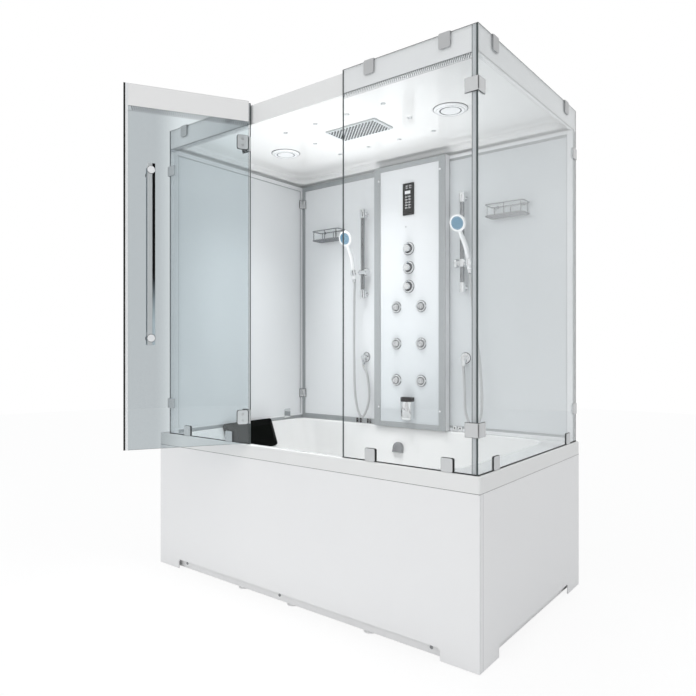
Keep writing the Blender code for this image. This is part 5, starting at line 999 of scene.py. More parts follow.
def wall_frames():
    front, back = FRONT_BACK + GAP, WALL_FACE - GAP
    shape = Shape()
    foot, head = WALL_FOOT + 0.027, WALL_TOP - 0.027
    framed(shape, ((front, WALL_FOOT), (back, WALL_TOP)), ((front + 0.028, foot), (back - 0.020, head)),
           (WALL_LEFT, LEFT_FACE), "X", WHITE)
    shape.block((WALL_LEFT, front + 0.028, WALL_FOOT), (LEFT_FACE + 0.0002, back, foot - 0.010), FRAME, "X",
                bevel=0.001)
    for low, high in (((front + 0.026, foot), (front + 0.028, head)), ((back - 0.020, foot), (back - 0.018, head)),
                      ((front + 0.026, head), (back - 0.018, head + 0.002)),
                      ((front, WALL_TOP - 0.003), (back, WALL_TOP))):
        shape.block((LEFT_FACE - 0.003, low[0], low[1]), (LEFT_FACE + 0.0003, high[0], high[1]), FRAME, "X",
                    bevel=0.0002)
    shape.piece("left_frame_bars", "aluminium", ["left_wall_frame"])
    shape = Shape()
    face = LEFT_FACE - 0.002
    shape.block((face - 0.005, front + 0.028 + GAP, WALL_FOOT + 0.0273), (face, back - 0.0203, WALL_TOP - 0.0273),
                PANEL, "X", bevel=0.0006)
    shape.piece("left_wall_board", "panel", ["left_wall_panel"])
    right = SIDE_IN - GAP
    bays = ((LEFT_FACE + 0.020, COLUMN_LEFT), (COLUMN_LEFT + 0.025, COLUMN_RIGHT - 0.025),
            (COLUMN_RIGHT, right - 0.028))
    bottom, top = WALL_FOOT + 0.027, WALL_TOP - 0.027
    shape = Shape()
    edges = [WALL_LEFT, *[x for bay in bays for x in bay], right]
    for start, end in zip(edges[::2], edges[1::2]):
        shape.block((start, WALL_FACE, WALL_FOOT), (end, WALL_BACK, WALL_TOP), FRAME, "Y", bevel=0.0012)
    for start, end in bays:
        for low, high in ((WALL_FOOT, bottom), (top, WALL_TOP)):
            shape.block((start, WALL_FACE, low), (end, WALL_BACK, high), FRAME, "Y", bevel=0.0012)
    face, start, end = WALL_FACE - 0.0003, bays[2][0], right
    shape.block((end - 0.0255, face, WALL_FOOT), (end, WALL_FACE + 0.003, WALL_TOP), WHITE, "Y", bevel=0.0002)
    for low, high in ((WALL_FOOT, bottom - 0.011), (top + 0.012, WALL_TOP)):
        shape.block((start, face, low), (end - 0.0255, WALL_FACE + 0.003, high), WHITE, "Y", bevel=0.0002)
    shape.piece("back_frame_bars", "aluminium", ["back_wall_frame"])
    clamps = Shape()
    for z in CLAMP_HEIGHTS:
        low, high = z - 0.024, z + 0.024
        clamps.block((SIDE_OUT + GAP, WALL_BACK - 0.048, low), (SIDE_OUT + 0.0043, WALL_BACK, high), POLISHED, "X",
                     0.002)
        left, near = LEFT_FACE + GAP, WALL_FACE - 0.004
        clamps.block((left, WALL_FACE - 0.027, low), (left + 0.004, WALL_FACE, high), POLISHED, "X", 0.002)
        clamps.block((left, near, low), (left + 0.027, WALL_FACE, high), POLISHED, "Y", 0.002)
        clamps.block((left, WALL_FACE - 0.0285, low - 0.0015), (left + 0.0015, WALL_FACE, high + 0.0015), RUBBER, "X",
                     0.002, 0.0002)
        clamps.block((left, WALL_FACE - 0.0015, low - 0.0015), (left + 0.0290, WALL_FACE, high + 0.0015), RUBBER, "Y",
                     0.002, 0.0002)
    clamps.piece("wall_clamps", "satin_metal", ["back_wall_frame"])
    clips = Shape()
    for start, end in CLIP_SPANS:
        clips.block((start, WALL_FACE - 0.0060, WALL_FOOT + 0.0005), (end, WALL_FACE - 0.0003, 0.680), CHROME, "Y",
                    0.003, 0.001)
        middle = (start + end) / 2
        clips.rod((middle, WALL_FACE - 0.0064, 0.668), (middle, WALL_FACE - 0.005, 0.668), 0.0042, DARK_GAPS_AND_SHADE, 16, 0.0003)
    clips.block((LEFT_FACE + GAP, 0.287, 0.662), (LEFT_FACE + 0.0045, 0.338, 0.714), CHROME, "X", 0.003, 0.001)
    clips.piece("wall_foot_clips", "chrome")
    for name, (start, end) in (("left", bays[0]), ("right", bays[2])):
        shape = Shape()
        # The right board takes the darker panel copy, which is painted shade.
        shape.block((start + GAP, PANEL_FACE, bottom + GAP), (end - GAP, PANEL_FACE + 0.005, top - GAP),
                    PANEL if name == "left" else PANEL_SHADED, "Y", bevel=0.0006)
        shape.piece(f"back_board_{name}", "panel", [f"back_panel_{name}"])


# Roof

def roof_level(inset, height):
    left, right, front, back = WALL_LEFT, SIDE_IN - 0.003, FRONT_BACK + 0.003, WALL_BACK
    return level_ring(left + inset, right - inset, front + inset, back - inset, 0.010 + inset, height, 6)


def roof():
    rise, width = CEILING - ROOF_FOOT, 0.060
    steps = ((0.0, 0.0), (0.22, 0.0), (0.30, 0.30), (0.62, 0.42), (0.74, 0.86), (1.0, 1.0))
    line = eased([(width * inward, ROOF_FOOT + rise * up, 0) for inward, up in reversed(steps)], 0.006, 4)
    rings = [roof_level(inset, z) for inset, z, _ in line]
    rings += [roof_level(0.0, ROOF_TOP - 0.0008), roof_level(0.0008, ROOF_TOP)]
    rings += [roof_level(0.0040, ROOF_TOP), roof_level(0.0040, CEILING + 0.004)]
    shape = Shape()
    shape.skin(rings, ACRYLIC)
    holes = Shape()
    for x, y, radius in ((0.034, -0.046, 0.0105), (-0.485, 0, 0.0505), (0.493, 0, 0.0505)):
        holes.rod((x, y, CEILING - 0.01), (x, y, CEILING + 0.02), radius, ACRYLIC, 48, 0.0)
    shape.cut(holes).piece("roof_shell", "acrylic", ["roof"], angle=28)
    clips = Shape()
    right, left = SIDE_IN - GAP, -TUB_X + 0.069
    places = [(right - o, FRONT, "Y", 1) for o in (0.119, 0.439)]
    places += [(left + o, FRONT, "Y", 1) for o in (0.115, 0.438)]
    places += [(FRONT + o, SIDE_OUT, "X", -1) for o in (0.130, 0.849)]
    top = UNIT_TOP + GAP + 0.003
    for along, face, axis, inward in places:
        def block(depths, heights, corner):
            a, b = face + inward * depths[0], face + inward * depths[1]
            low, high = (along - 0.023, a, heights[0]), (along + 0.023, b, heights[1])
            if axis == "X":
                low, high = (a, along - 0.023, heights[0]), (b, along + 0.023, heights[1])
            clips.block(low, high, SATIN, axis, corner, 0.0008)

        block((-0.0043, -GAP), (top - 0.054, top), 0.006)
        block((-0.0022, 0.011), (UNIT_TOP + GAP, top), 0.0)
        block((0.0063, 0.011), (ROOF_TOP - 0.003, top), 0.0)
    clips.piece("roof_clips", "satin_metal", ["roof"])


def star_lights():
    """Small ring lights let into the ceiling."""
    shape = Shape()
    profile = [(0.0052, 0.0), (0.0052, 0.0022), (0.0066, 0.0032), (0.0100, 0.0022), (0.0110, 0.0), (0.0052, 0.0)]
    places = [(x, y) for x in (-0.267, -0.079, 0.108, 0.301) for y in (-0.228, 0.186)]
    places += [(-0.260, -0.024), (0.302, -0.024)]
    for x, y in places:
        shape.turned(profile, CHROME, (x, y, CEILING - 0.0001), (0, 0, -1), 24)
        shape.turned([(0.0, 0.0), (0.0, 0.0008), (0.0050, 0.0006), (0.0050, 0.0)], WHITE, (x, y, CEILING - 0.0001),
                     (0, 0, -1), 24)
    shape.piece("star_lights", "chrome")


def rain_head():
    x, y = 0.034, -0.046
    low, high = (x - 0.145, y - 0.075, CEILING - GAP - 0.008), (x + 0.145, y + 0.075, CEILING - GAP)
    shape = Shape()
    shape.block(low, high, HANDLE, "Z", 0.004, 0.002)
    shape.rod((x, y, high[2] - 0.001), (x, y, CEILING + 0.034), 0.010, CHROME)
    shape.piece("rain_plate", "chrome", ["rain_shower_head"])
    pitch = 0.0182
    for name, columns, rows, shift in (("rain_nozzles", 15, 8, 0.0), ("rain_nozzles_between", 14, 7, pitch / 2)):
        nozzle = Shape()
        nozzle.turned(disc(0.0058, 0, 0.0006), BLACK, (0, 0, 0), (0, 0, -1), 4)
        start = Matrix.Translation((x - 0.1274 + shift, y - 0.0637 + shift, low[2] + 0.0001))
        row = copied(nozzle, name, BLACK, columns, (pitch, 0, 0), rows, (0, pitch, 0), start)
        settle(row, (), CABIN)


def ceiling_fixture(name, x, node, slot, lens):
    rim, bottom = CEILING - GAP, CEILING - GAP - 0.009
    shape = Shape()
    outer = [(0, CEILING + 0.026), (0.0495, CEILING + 0.026), (0.0495, rim), (0.0725, rim), (0.0725, rim - 0.003)]
    outer += [(0.0640, bottom), (0.0480, bottom), (0.0450, bottom + 0.005), (0.0, bottom + 0.005)]
    shape.turned(eased(outer, 0.0015), WHITE, (x, 0, 0), sides=72)
    shape.turned(eased([(0.0600, bottom + 0.0006), (0.0612, bottom - 0.0006), (0.0630, bottom + 0.0006),
                        (0.0600, bottom + 0.0006)], 0.0004), TUBE, (x, 0, 0), sides=72)
    shape.turned(disc(0.0449, bottom + 0.0048, bottom + 0.0036),
                 DARK_GAPS_AND_SHADE, (x, 0, 0), sides=72)
    # Painted shadow: a dark ring round the rim on the ceiling.
    shape.turned(hoop(0.0720, 0.0752, rim + 0.0001, rim - 0.0012), DARK_GAPS_AND_SHADE, (x, 0, 0), sides=72)
    shape.turned([(0.0, bottom + 0.0030), (0.0425, bottom + 0.0030), (0.0425, bottom + 0.0012), (0.0410, bottom),
                  (0.0, bottom)], lens, (x, 0, 0), sides=72)
    shape.piece(name, slot, [node])


# Door

DOOR = Matrix.Translation(HINGE) @ Matrix.Rotation(math.radians(DOOR_ANGLE), 4, "Z")
DOOR_PANE = (0.007, 0.013)


def door():
    low, high = RIM + 0.008, UNIT_TOP
    end = DOOR_LENGTH - 0.0024
    near, far = DOOR_PANE
    pane("door_pane", (0.0035, near, low), (end, far, high), "Y", TINTED, ["door_glass"], "door", DOOR)
    print_strip("door", 0.0045, end - 0.009, (far + 0.0002, far + 0.0005), "Y", DOOR, "door")
    seal = Shape(DOOR)
    tip, start = DOOR_LENGTH - 0.007, DOOR_LENGTH - 0.017
    seal.block((DOOR_LENGTH - 0.0021, near - 0.0014, low), (DOOR_LENGTH, far + 0.0014, high), RUBBER, "Z", bevel=0.0005)
    for a, b in ((near - 0.0015, near - 0.0004), (far + 0.0006, far + 0.0015)):
        seal.block((tip, a, low), (DOOR_LENGTH - 0.0015, b, high), RUBBER, "Z", bevel=0.0003)
        seal.block((start, a, low), (tip, b, high), WHITE, "Z", bevel=0.0003)
    seal.piece("door_edge_seal", "rubber", ["door_seal"], "door")
    handle()
    for level, z in HINGE_HEIGHTS:
        hinge(f"{level}_hinge_leaf", f"{level}_leaf_plates", 1, z, DOOR, "door")
        hinge(f"{level}_hinge_block", f"{level}_block_plates", -1, z, Matrix.Translation(HINGE), CABIN)


def handle():
    x, z, half = DOOR_LENGTH - 0.105, 1.455, 0.3675
    near, far = DOOR_PANE
    shape = Shape(DOOR)
    outer, inner = near - 0.034, far + 0.034
    for a, b in ((outer - 0.012, outer), (inner, inner + 0.012)):
        start = x - 0.0040 if b > 0 else x - 0.015
        shape.block((start, a, z - half), (x + 0.015, b, z + half), HANDLE, "Z", 0.003, 0.0015)
    # Painted shade: the dark strip beside the inner bar stands for the bar's shaded side.
    shape.block((x - 0.015, inner + 0.001, z - half), (x - 0.0035, inner + 0.011, z + half), HANDLE_SHADE_STRIP, "Z", 0.002, 0.001)
    for side in (-1, 1):
        height = z + side * (half - 0.045)
        for face, out in ((outer - 0.012, -1), (inner + 0.012, 1)):
            cap = z + side * (half - 0.0275)
            shape.rod((x + 0.001, face, cap), (x + 0.001, face + out * 0.0025, cap), 0.0150, WHITE, 40, 0.001)
            shape.rod((x + 0.001, face, cap), (x + 0.001, face + out * 0.0008, cap), 0.0165, RUBBER, 40, 0.0002)
        shape.rod((x, outer - 0.004, height), (x, inner + 0.004, height), 0.010, CHROME, 32)
        shape.rod((x, near - 0.0043, height), (x, near - GAP, height), 0.016, CHROME, 40)
        shape.rod((x, far + GAP, height), (x, far + 0.0043, height), 0.016, CHROME, 40)
    shape.piece("handle_bars", "satin_metal", ["door_handle"], "door")


def hinge(node, name, sign, height, place, body):
    near, far = 0.007 - GAP, 0.013 + GAP
    start, end = sign * 0.008, sign * 0.054
    left, right = min(start, end), max(start, end)
    shape = Shape(place @ Matrix.Translation((0, 0, height)))
    shape.block((left, near - 0.004, -0.030), (right, near, 0.030), HANDLE, "Y", 0.008, 0.0009)
    shape.block((left, far, -0.030), (right, far + 0.004, 0.030), HANDLE, "Y", 0.008, 0.0009)
    for skin in ((near - 0.0015, near), (far, far + 0.0015)):
        shape.block((left - 0.0015, skin[0], -0.0315), (right + 0.0015, skin[1], 0.0315), RUBBER, "Y", 0.009, 0.0002)
    x = sign * 0.031
    for z in (-0.014, 0.014):
        for y, out in ((near - 0.0040, -1), (far + 0.0040, 1)):
            shape.turned([(0, 0.0), (0.0030, 0.0), (0.0032, 0.0006), (0.0052, 0.0006), (0.0058, 0.0), (0.0058, -0.001),
                          (0, -0.001)], CHROME, (x, y - out * 0.0006, z), (0, out, 0), 24)
            shape.turned(disc(0.0031, 0, 0.0003), DARK_GAPS_AND_SHADE, (x, y - out * 0.0005, z), (0, out, 0), 24)
    third = 0.020
    spans = [(-third / 2 + 0.0005, third / 2 - 0.0005)] if sign > 0 else [(-0.030, -third / 2), (third / 2, 0.030)]
    for low, high in spans:
        shape.block((min(0.0, sign * 0.012), near - 0.004, low), (max(0.0, sign * 0.012), near, high), SATIN, "Z",
                    bevel=0.0006)
        shape.rod((0, 0, low), (0, 0, high), 0.0065, SATIN, 32)
    if sign > 0:
        shape.rod((0, 0, -0.0303), (0, 0, 0.0303), 0.0029, SATIN, 16)
    else:
        bore = Shape(shape.place)
        bore.rod((0, 0, -0.04), (0, 0, 0.04), 0.0030, SATIN, 16, 0.0)
        shape.cut(bore)
    shape.piece(name, "satin_metal", [node], body)


# Column

KNOB_HEIGHTS = (1.600, 1.500, 1.400)
PAD_Z = 1.861
CUP_BOSS_Z = 0.756


def column():
    shape = Shape()
    foot, top, back = WALL_FOOT, WALL_TOP, WALL_FACE - GAP
    face = COLUMN_FRONT + 0.004
    framed(shape, ((COLUMN_LEFT, foot), (COLUMN_RIGHT, top)),
           ((COLUMN_LEFT + 0.038, foot + 0.027), (COLUMN_RIGHT - 0.038, top - 0.027)), (COLUMN_FRONT, face), "Y", FRAME)
    # Painted light: the right side of the column is white instead of frame colour, so that side shows lighter.
    for a, b, look in ((COLUMN_LEFT, COLUMN_LEFT + 0.004, FRAME), (COLUMN_RIGHT - 0.004, COLUMN_RIGHT, WHITE)):
        shape.block((a, COLUMN_FRONT + 0.001, foot), (b, back, top), look, "X", bevel=0.0008)
    for a, b in ((foot, foot + 0.004), (top - 0.004, top)):
        shape.block((COLUMN_LEFT + 0.004, face, a), (COLUMN_RIGHT - 0.004, back, b), FRAME, "Z", bevel=0.0008)
    shape.piece("column_bars", "aluminium", ["column_frame"])
    lines = Shape()
    for a, b in ((COLUMN_LEFT - 0.0001, COLUMN_LEFT + 0.0015), (COLUMN_RIGHT - 0.0018, COLUMN_RIGHT + 0.0001),
                 (COLUMN_LEFT + 0.0365, COLUMN_LEFT + 0.0378), (COLUMN_RIGHT - 0.0378, COLUMN_RIGHT - 0.0365)):
        lines.block((a, COLUMN_FRONT - 0.0001, foot), (b, COLUMN_FRONT + 0.0012, top), GREY, "Z", bevel=0.0001)
    lines.piece("column_joints", None)
    caps = Shape()
    for x, z in ((-0.170, 1.985), (-0.170, 0.755), (0.209, 1.986), (0.209, 0.752)):
        caps.turned(eased([(0, 0.0030), (0.0045, 0.0026), (0.0062, 0.0), (0, 0)], 0.001), WHITE,
                    (x, COLUMN_FRONT - 0.0001, z), (0, -1, 0), 24)
    caps.piece("column_screw_caps", "chrome")
    board = Shape()
    edge = 0.0043
    board.block((COLUMN_LEFT + edge, COLUMN_FACE, foot + edge), (COLUMN_RIGHT - edge, COLUMN_FACE + 0.005, top - edge),
                SHADED_BOARD, "Y", bevel=0.0005)
    holes = Shape()
    for x, z in jet_places():
        holes.rod((x, COLUMN_FACE - 0.02, z), (x, COLUMN_FACE + 0.02, z), 0.0175, PANEL, 40, 0.0)
    for z, radius in (*((height, 0.0052) for height in KNOB_HEIGHTS), (PAD_Z, 0.0082), (CUP_BOSS_Z, 0.0102)):
        holes.rod((COLUMN_X, COLUMN_FACE - 0.02, z), (COLUMN_X, COLUMN_FACE + 0.02, z), radius, PANEL, 24, 0.0)
    board.cut(holes).piece("column_board", "panel", ["column_panel"])
    sensor = Shape()
    sensor.turned(eased([(0, 0.0008), (0.0035, 0.0006), (0.0042, 0), (0, 0)], 0.0003), GREY,
                  (0.002, COLUMN_FACE - 0.0001, 1.717), (0, -1, 0), 20)
    sensor.piece("room_sensor", "grey")


def jet_places():
    return [(COLUMN_X + side * 0.077, z) for z in (1.293, 1.098, 0.904) for side in (-1, 1)]


def jets():
    rings = Shape()
    for x, z in jet_places():
        at = (x, COLUMN_FACE - GAP, z)
        profile = [(0.0178, 0.0), (0.0178, 0.0052), (0.0205, 0.0062), (0.0225, 0.0090), (0.0262, 0.0088),
                   (0.0285, 0.0045), (0.0285, 0.0), (0.0178, 0.0)]
        rings.turned(eased(profile, 0.0014, 3), CHROME, at, (0, -1, 0), 56)
        # Painted shadow: a dark ring round each jet ring on the board.
        rings.turned(hoop(0.0280, 0.0306, 0.0, 0.0012), DARK_GAPS_AND_SHADE, at, (0, -1, 0), 56)
        rings.turned(hoop(0.0172, 0.0196, 0.0040, 0.0062), DARK_GAPS_AND_SHADE, at, (0, -1, 0), 56)
        for side in (-1, 1):
            rings.block((x + side * 0.0275, COLUMN_FACE - 0.0055, z - 0.006), (x + side * 0.0310, COLUMN_FACE - 0.0005,
                        z + 0.006), CHROME, "Y", 0.0015, 0.0008)
    rings.piece("jet_rings", "chrome", ["column_panel"])
    for i, (x, z) in enumerate(jet_places()):
        at = (x, COLUMN_FACE, z)
        bend = math.asin(0.012 / 0.017)
        ball = [(0.017 * math.cos(bend - bend * 2 * k / 12),
                 0.017 * math.sin(bend - bend * 2 * k / 12)) for k in range(13)]
        profile = [(0, 0.0178), (0.0060, 0.0178), (0.0068, 0.0190), (0.0100, 0.0190), (0.0118, 0.0172)] + ball
        shape = Shape()
        shape.turned([*profile, (0, -0.012)], POLISHED, at, (0, -1, 0), 48)
        for k in range(10):
            angle = math.tau * k / 10
            spot = (x + 0.0084 * math.cos(angle), COLUMN_FACE - 0.01895, z + 0.0084 * math.sin(angle))
            shape.turned(disc(0.0008, 0.0, 0.0003), DARK_GAPS_AND_SHADE, spot, (0, -1, 0), 10)
        shape.turned(disc(0.0030, 0, 0.0004), DARK_GAPS_AND_SHADE, (x, COLUMN_FACE - 0.0177, z), (0, -1, 0), 20)
        shape.piece(f"jet_ball_{i + 1}", "satin_metal", [f"jet_nozzle_{i + 1}"], f"jet_{i + 1}")


def knobs():
    for i, z in enumerate(KNOB_HEIGHTS):
        at = (COLUMN_X, COLUMN_FACE - GAP, z)
        shape = Shape()
        ring = [(0, 0.0), (0.0320, 0.0), (0.0330, 0.0030), (0.0318, 0.0080), (0.0285, 0.0100), (0.0255, 0.0090),
                (0.0235, 0.0050), (0.0200, 0.0046), (0.0188, 0.0060), (0.0180, 0.0295), (0.0165, 0.0317), (0, 0.0317)]
        shape.turned(eased(ring, 0.0018, 3), CHROME, at, (0, -1, 0), 64)
        shape.turned([(0, 0.0317), (0.0150, 0.0317), (0.0146, 0.0320), (0, 0.0320)], POLISHED, at, (0, -1, 0), 48)
        # Painted shade: the groove in the knob ring is filled dark, and a dark ring is drawn round the knob on the
        # board.
        shape.turned([(0.0186, 0.0046), (0.0238, 0.0050), (0.0238, 0.0066), (0.0186, 0.0066), (0.0186, 0.0046)], DARK_GAPS_AND_SHADE,
                     at, (0, -1, 0), 64)
        shape.turned(hoop(0.0318, 0.0346, 0.0, 0.0014), DARK_GAPS_AND_SHADE, at, (0, -1, 0), 64)
        shape.rod((COLUMN_X, COLUMN_FACE - 0.001, z), (COLUMN_X, COLUMN_FACE + 0.030, z), 0.005, CHROME)
        shape.turned(disc(0.0022, 0, 0.0006), BLUE, (COLUMN_X, COLUMN_FACE - 0.0102, z + 0.0285), (0, -1, 0), 16)
        shape.piece(f"knob_turned_{i + 1}", "chrome", [f"control_knob_{i + 1}"], f"knob_{i + 1}")


def control_pad():
    low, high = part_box("control_pad")
    front, z = COLUMN_FACE - GAP - 0.006, PAD_Z
    shape = Shape()
    shape.block((low.x, front, low.z), (high.x, COLUMN_FACE - GAP, high.z), BLACK, "Y", 0.003, 0.0015)
    shape.rod((COLUMN_X, COLUMN_FACE - 0.003, z), (COLUMN_X, high.y, z), 0.008, BLACK)
    face = front - 0.0001
    shape.block((COLUMN_X - 0.020, face, 1.888), (COLUMN_X + 0.014, front + 0.0005, 1.905), WHITE, "Y", 0.001, 0.0001)
    for row in range(2):
        for column in range(2):
            x, height = COLUMN_X - 0.011 + 0.022 * column, 1.930 - 0.011 * row
            shape.turned([(0.0016, 0), (0.0016, 0.0002), (0.0034, 0.0002), (0.0034, 0), (0.0016, 0)], WHITE,
                         (x, front + 0.0001, height), (0, -1, 0), 16)
            shape.block((x + 0.0048, face, height - 0.0014), (x + 0.0100, front + 0.0005, height + 0.0014), WHITE,
                        "Y", 0.0005, 0.0001)
    for row in range(5):
        for column in range(2):
            x, height = COLUMN_X - 0.013 + 0.020 * column, 1.873 - 0.0145 * row
            shape.turned([(0.0026, 0), (0.0026, 0.0002), (0.0045, 0.0002), (0.0045, 0), (0.0026, 0)], WHITE,
                         (x, front + 0.0001, height), (0, -1, 0), 20)
            if (row + column) % 2:
                shape.block((x - 0.0005, face, height - 0.0015), (x + 0.0005, front + 0.0005, height + 0.0015), WHITE,
                            "Y", 0.0002, 0.0001)
            else:
                shape.block((x - 0.0015, face, height - 0.0005), (x + 0.0015, front + 0.0005, height + 0.0005), WHITE,
                            "Y", 0.0002, 0.0001)
            shape.block((x + 0.0062, face, height - 0.0014), (x + 0.0108, front + 0.0005, height + 0.0014), WHITE,
                        "Y", 0.0004, 0.0001)
    shape.piece("touch_pad", "black", ["control_pad"])


def steam_outlet():
    half, back, z0 = 0.035, COLUMN_FACE - GAP, 0.696

    def ring(inset, height, wall=0.0):
        points = d_ring(half - inset - wall, 0.046 - inset - wall, 0.028 - inset, 0.0, height)
        return [(COLUMN_X + p.x, back - wall - p.y, z0 + p.z) for p in points]

    rings = [ring(0.012 * (1 - math.sin(math.pi / 16 * i)), 0.024 * (1 - math.cos(math.pi / 16 * i))) for i in range(9)]
    shape = Shape()
    shape.skin([*rings, ring(0, 0.098), ring(0.0008, 0.0985)], CHROME)
    shape.skin([ring(0.0008, 0.0986), ring(0.0008, 0.0996)], DARK_GAPS_AND_SHADE)
    shape.skin([ring(0.0, 0.0997), ring(0.0, 0.1195), ring(0.0008, 0.120), ring(0.004, 0.120), ring(0.0045, 0.110)],
               BLACK)
    shape.rod((COLUMN_X, back - 0.012, CUP_BOSS_Z), (COLUMN_X, COLUMN_FACE + 0.010, CUP_BOSS_Z), 0.010, CHROME)
    shape.piece("steam_cup", "chrome", ["steam_outlet"])


def mixer():
    front = COLUMN_FACE + 0.021
    back = front + 0.036
    middle = (front + back) / 2
    bottom, top = 1.368, 1.632
    shape = Shape()
    shape.block((COLUMN_X - 0.030, front, bottom), (COLUMN_X + 0.030, back, top), BRASS, "Y", 0.006, 0.002)
    cross, low = 1.338, 0.864
    left, right = COLUMN_X - 0.077, COLUMN_X + 0.077
    corners = [(x, middle, z) for x, z in ((left, low), (left, cross), (right, cross), (right, low))]
    shape.tube(eased(corners, 0.016, 8), 0.0075, BRASS, 20)
    shape.rod((COLUMN_X, middle, cross), (COLUMN_X, middle, bottom + 0.005), 0.0075, BRASS)
    for x, z in jet_places():
        shape.rod((x, middle, z), (x, COLUMN_FACE + 0.0173, z), 0.012, BRASS, 6)
    for side in (-1, 1):
        x, y = COLUMN_X + side * 0.018, back - 0.0095
        shape.rod((x, y, 0.690), (x, y, bottom + 0.005), 0.0075, BRASS)
        shape.rod((x, y, bottom - 0.012), (x, y, bottom + 0.001), 0.011, BRASS, 6)
    bores = Shape()
    for z in (1.600, 1.500, 1.400):
        bores.rod((COLUMN_X, front - 0.01, z), (COLUMN_X, front + 0.015, z), 0.0052, BRASS, 24, 0.0)
    shape.cut(bores).piece("valve_and_pipes", "brass", ["mixer_valve"])


# Hand showers

def cradle_line(side):
    lean = math.radians(12.0)
    return Vector((side * 0.0485, -0.024, 0.0)), Vector((0.0, -math.sin(lean), math.cos(lean)))


def rail_place(side):
    return Matrix.Translation((COLUMN_X + side * 0.309, RAIL_Y, SLIDER_Z))


def rails():
    for name, side in SIDES:
        x = COLUMN_X + side * 0.309
        low, high = 1.353, 1.850
        shape = Shape()
        profile = [(0, high), (0.016, high), (0.016, high - 0.048), (0.011, high - 0.049), (0.011, low + 0.049),
                   (0.016, low + 0.048), (0.016, low), (0, low)]
        shape.turned(eased(profile, 0.0018), CHROME, (x, RAIL_Y, 0), sides=40)
        shape.rod((x, RAIL_Y, low + 0.0485), (x, RAIL_Y, high - 0.0485), 0.0112, TUBE, 40)
        for z in (low + 0.024, high - 0.024):
            shape.rod((x, RAIL_Y + 0.002, z), (x, PANEL_FACE - 0.002, z), 0.008, CHROME)
            shape.rod((x, PANEL_FACE - 0.0043, z), (x, PANEL_FACE - GAP, z), 0.015, CHROME, 32)
        shape.piece(f"{name}_rail_bar", "chrome", [f"{name}_shower_rail"])


def sliders():
    for name, side in SIDES:
        place = rail_place(side)
        shape = Shape(place)
        shape.rod((-side * 0.026, 0, 0), (side * 0.020, 0, 0), 0.0150, CHROME, 40, 0.001)
        shape.rod((0, 0, -0.019), (0, 0, 0.019), 0.0165, CHROME, 40, 0.0015)
        knob = [(0, 0), (0.0215, 0), (0.023, 0.003), (0.023, 0.012), (0.0205, 0.0160), (0, 0.0160)]
        shape.turned(eased(knob, 0.0015), CHROME, (-side * 0.022, 0, 0), (-side, 0, 0), 48)
        tools = Shape(place)
        tools.rod((0, 0, -0.03), (0, 0, 0.03), 0.0110, CHROME, 40, 0.0)
        pin = Shape(place)
        pin.rod((side * 0.0165, 0, 0), (side * 0.03, 0, 0), 0.0052, CHROME, 20, 0.0)
        shape.cut(tools, pin).piece(f"{name}_slider_body", "chrome", [f"{name}_slider"], f"{name}_slider")
        centre, up = cradle_line(side)
        half = up * 0.015
        cradle = Shape(place)
        cradle.rod((side * 0.0203, 0, 0), (side * 0.0485, 0, 0), 0.014, CHROME, 40, 0.001)
        cradle.rod((side * 0.0168, 0, 0), (side * 0.030, 0, 0), 0.005, CHROME, 20)
        cradle.rod(centre - half, centre + half, 0.017, CHROME, 40, 0.001, 0.015)
        start, end = side * (0.0485 - 0.017), side * 0.0535
        cradle.block((min(start, end), -0.024, -0.007), (max(start, end), 0, 0.007), CHROME, "X", bevel=0.002)
        bore = Shape(place)
        bore.rod(centre - 2 * half, centre + 2 * half, 0.0115, CHROME, 40, 0.0)
        cradle.cut(bore).piece(f"{name}_cradle_ring", "chrome", [f"{name}_cradle"], f"{name}_cradle")


def handsets():
    tilt = math.radians(18.0)
    for name, side in SIDES:
        place = rail_place(side)
        centre, up = cradle_line(side)
        head = Vector((side * (0.345 - 0.309), 0.306 - RAIL_Y, 1.677 - SLIDER_Z))
        face = Vector((0.0, -math.cos(tilt), -math.sin(tilt)))
        shape = Shape(place)
        rim = [(0.0300, 0.0086), (0.0335, 0.0086), (0.0365, 0.0100), (0.0398, 0.0094), (0.0428, 0.0060),
               (0.0430, 0.0020), (0.0400, -0.0040), (0.0330, -0.0090), (0.0220, -0.0130), (0.0100, -0.0148),
               (0, -0.0150)]
        shape.turned([(0, 0.0060), (0.0300, 0.0060), *eased(rim, 0.002)], WHITE, head, face, 64)
        spray = [(0, 0.0096), (0.0060, 0.0096), (0.0068, 0.0088), (0.0140, 0.0088), (0.0148, 0.0096), (0.0220, 0.0096),
                 (0.0228, 0.0088), (0.0318, 0.0086), (0.0330, 0.0084), (0.0330, 0.0062), (0, 0.0062)]
        shape.turned(spray, BLUE, head, face, 64)
        spin = facing(head, face)
        for radius, count in ((0.0100, 10), (0.0184, 18), (0.0270, 26)):
            for k in range(count):
                angle = math.tau * k / count
                spot = spin @ Vector((radius * math.cos(angle), radius * math.sin(angle), 0.0086))
                shape.turned([(0, 0.0016), (0.0009, 0.0014), (0.0012, 0), (0, 0)], WHITE, spot, face, 8)
        bottom, top = centre - up * 0.036, centre + up * 0.0225
        neck = head - face * 0.010
        lower = head + Vector((0.0, math.sin(tilt), -math.cos(tilt))) * 0.037 - face * 0.006
        start = centre + up * 0.018
        bend = (start + lower) / 2 + Vector((0.0, 0.012, 0.0))
        arm = smooth_path([bottom, centre, start, bend, lower, neck], 0.006)
        radii = []
        for i, point in enumerate(arm):
            share = i / (len(arm) - 1)
            radii.append(0.0120 - 0.0040 * max(0.0, share - 0.55) / 0.45)
        shape.tube(arm, radii, WHITE, 28)
        shape.rod(bottom + up * 0.002, bottom - up * 0.018, 0.0095, CHROME, 32)
        shape.piece(f"{name}_hand_rose", "white", [f"{name}_handset"], f"{name}_cradle")


ELBOW_Z = 1.025


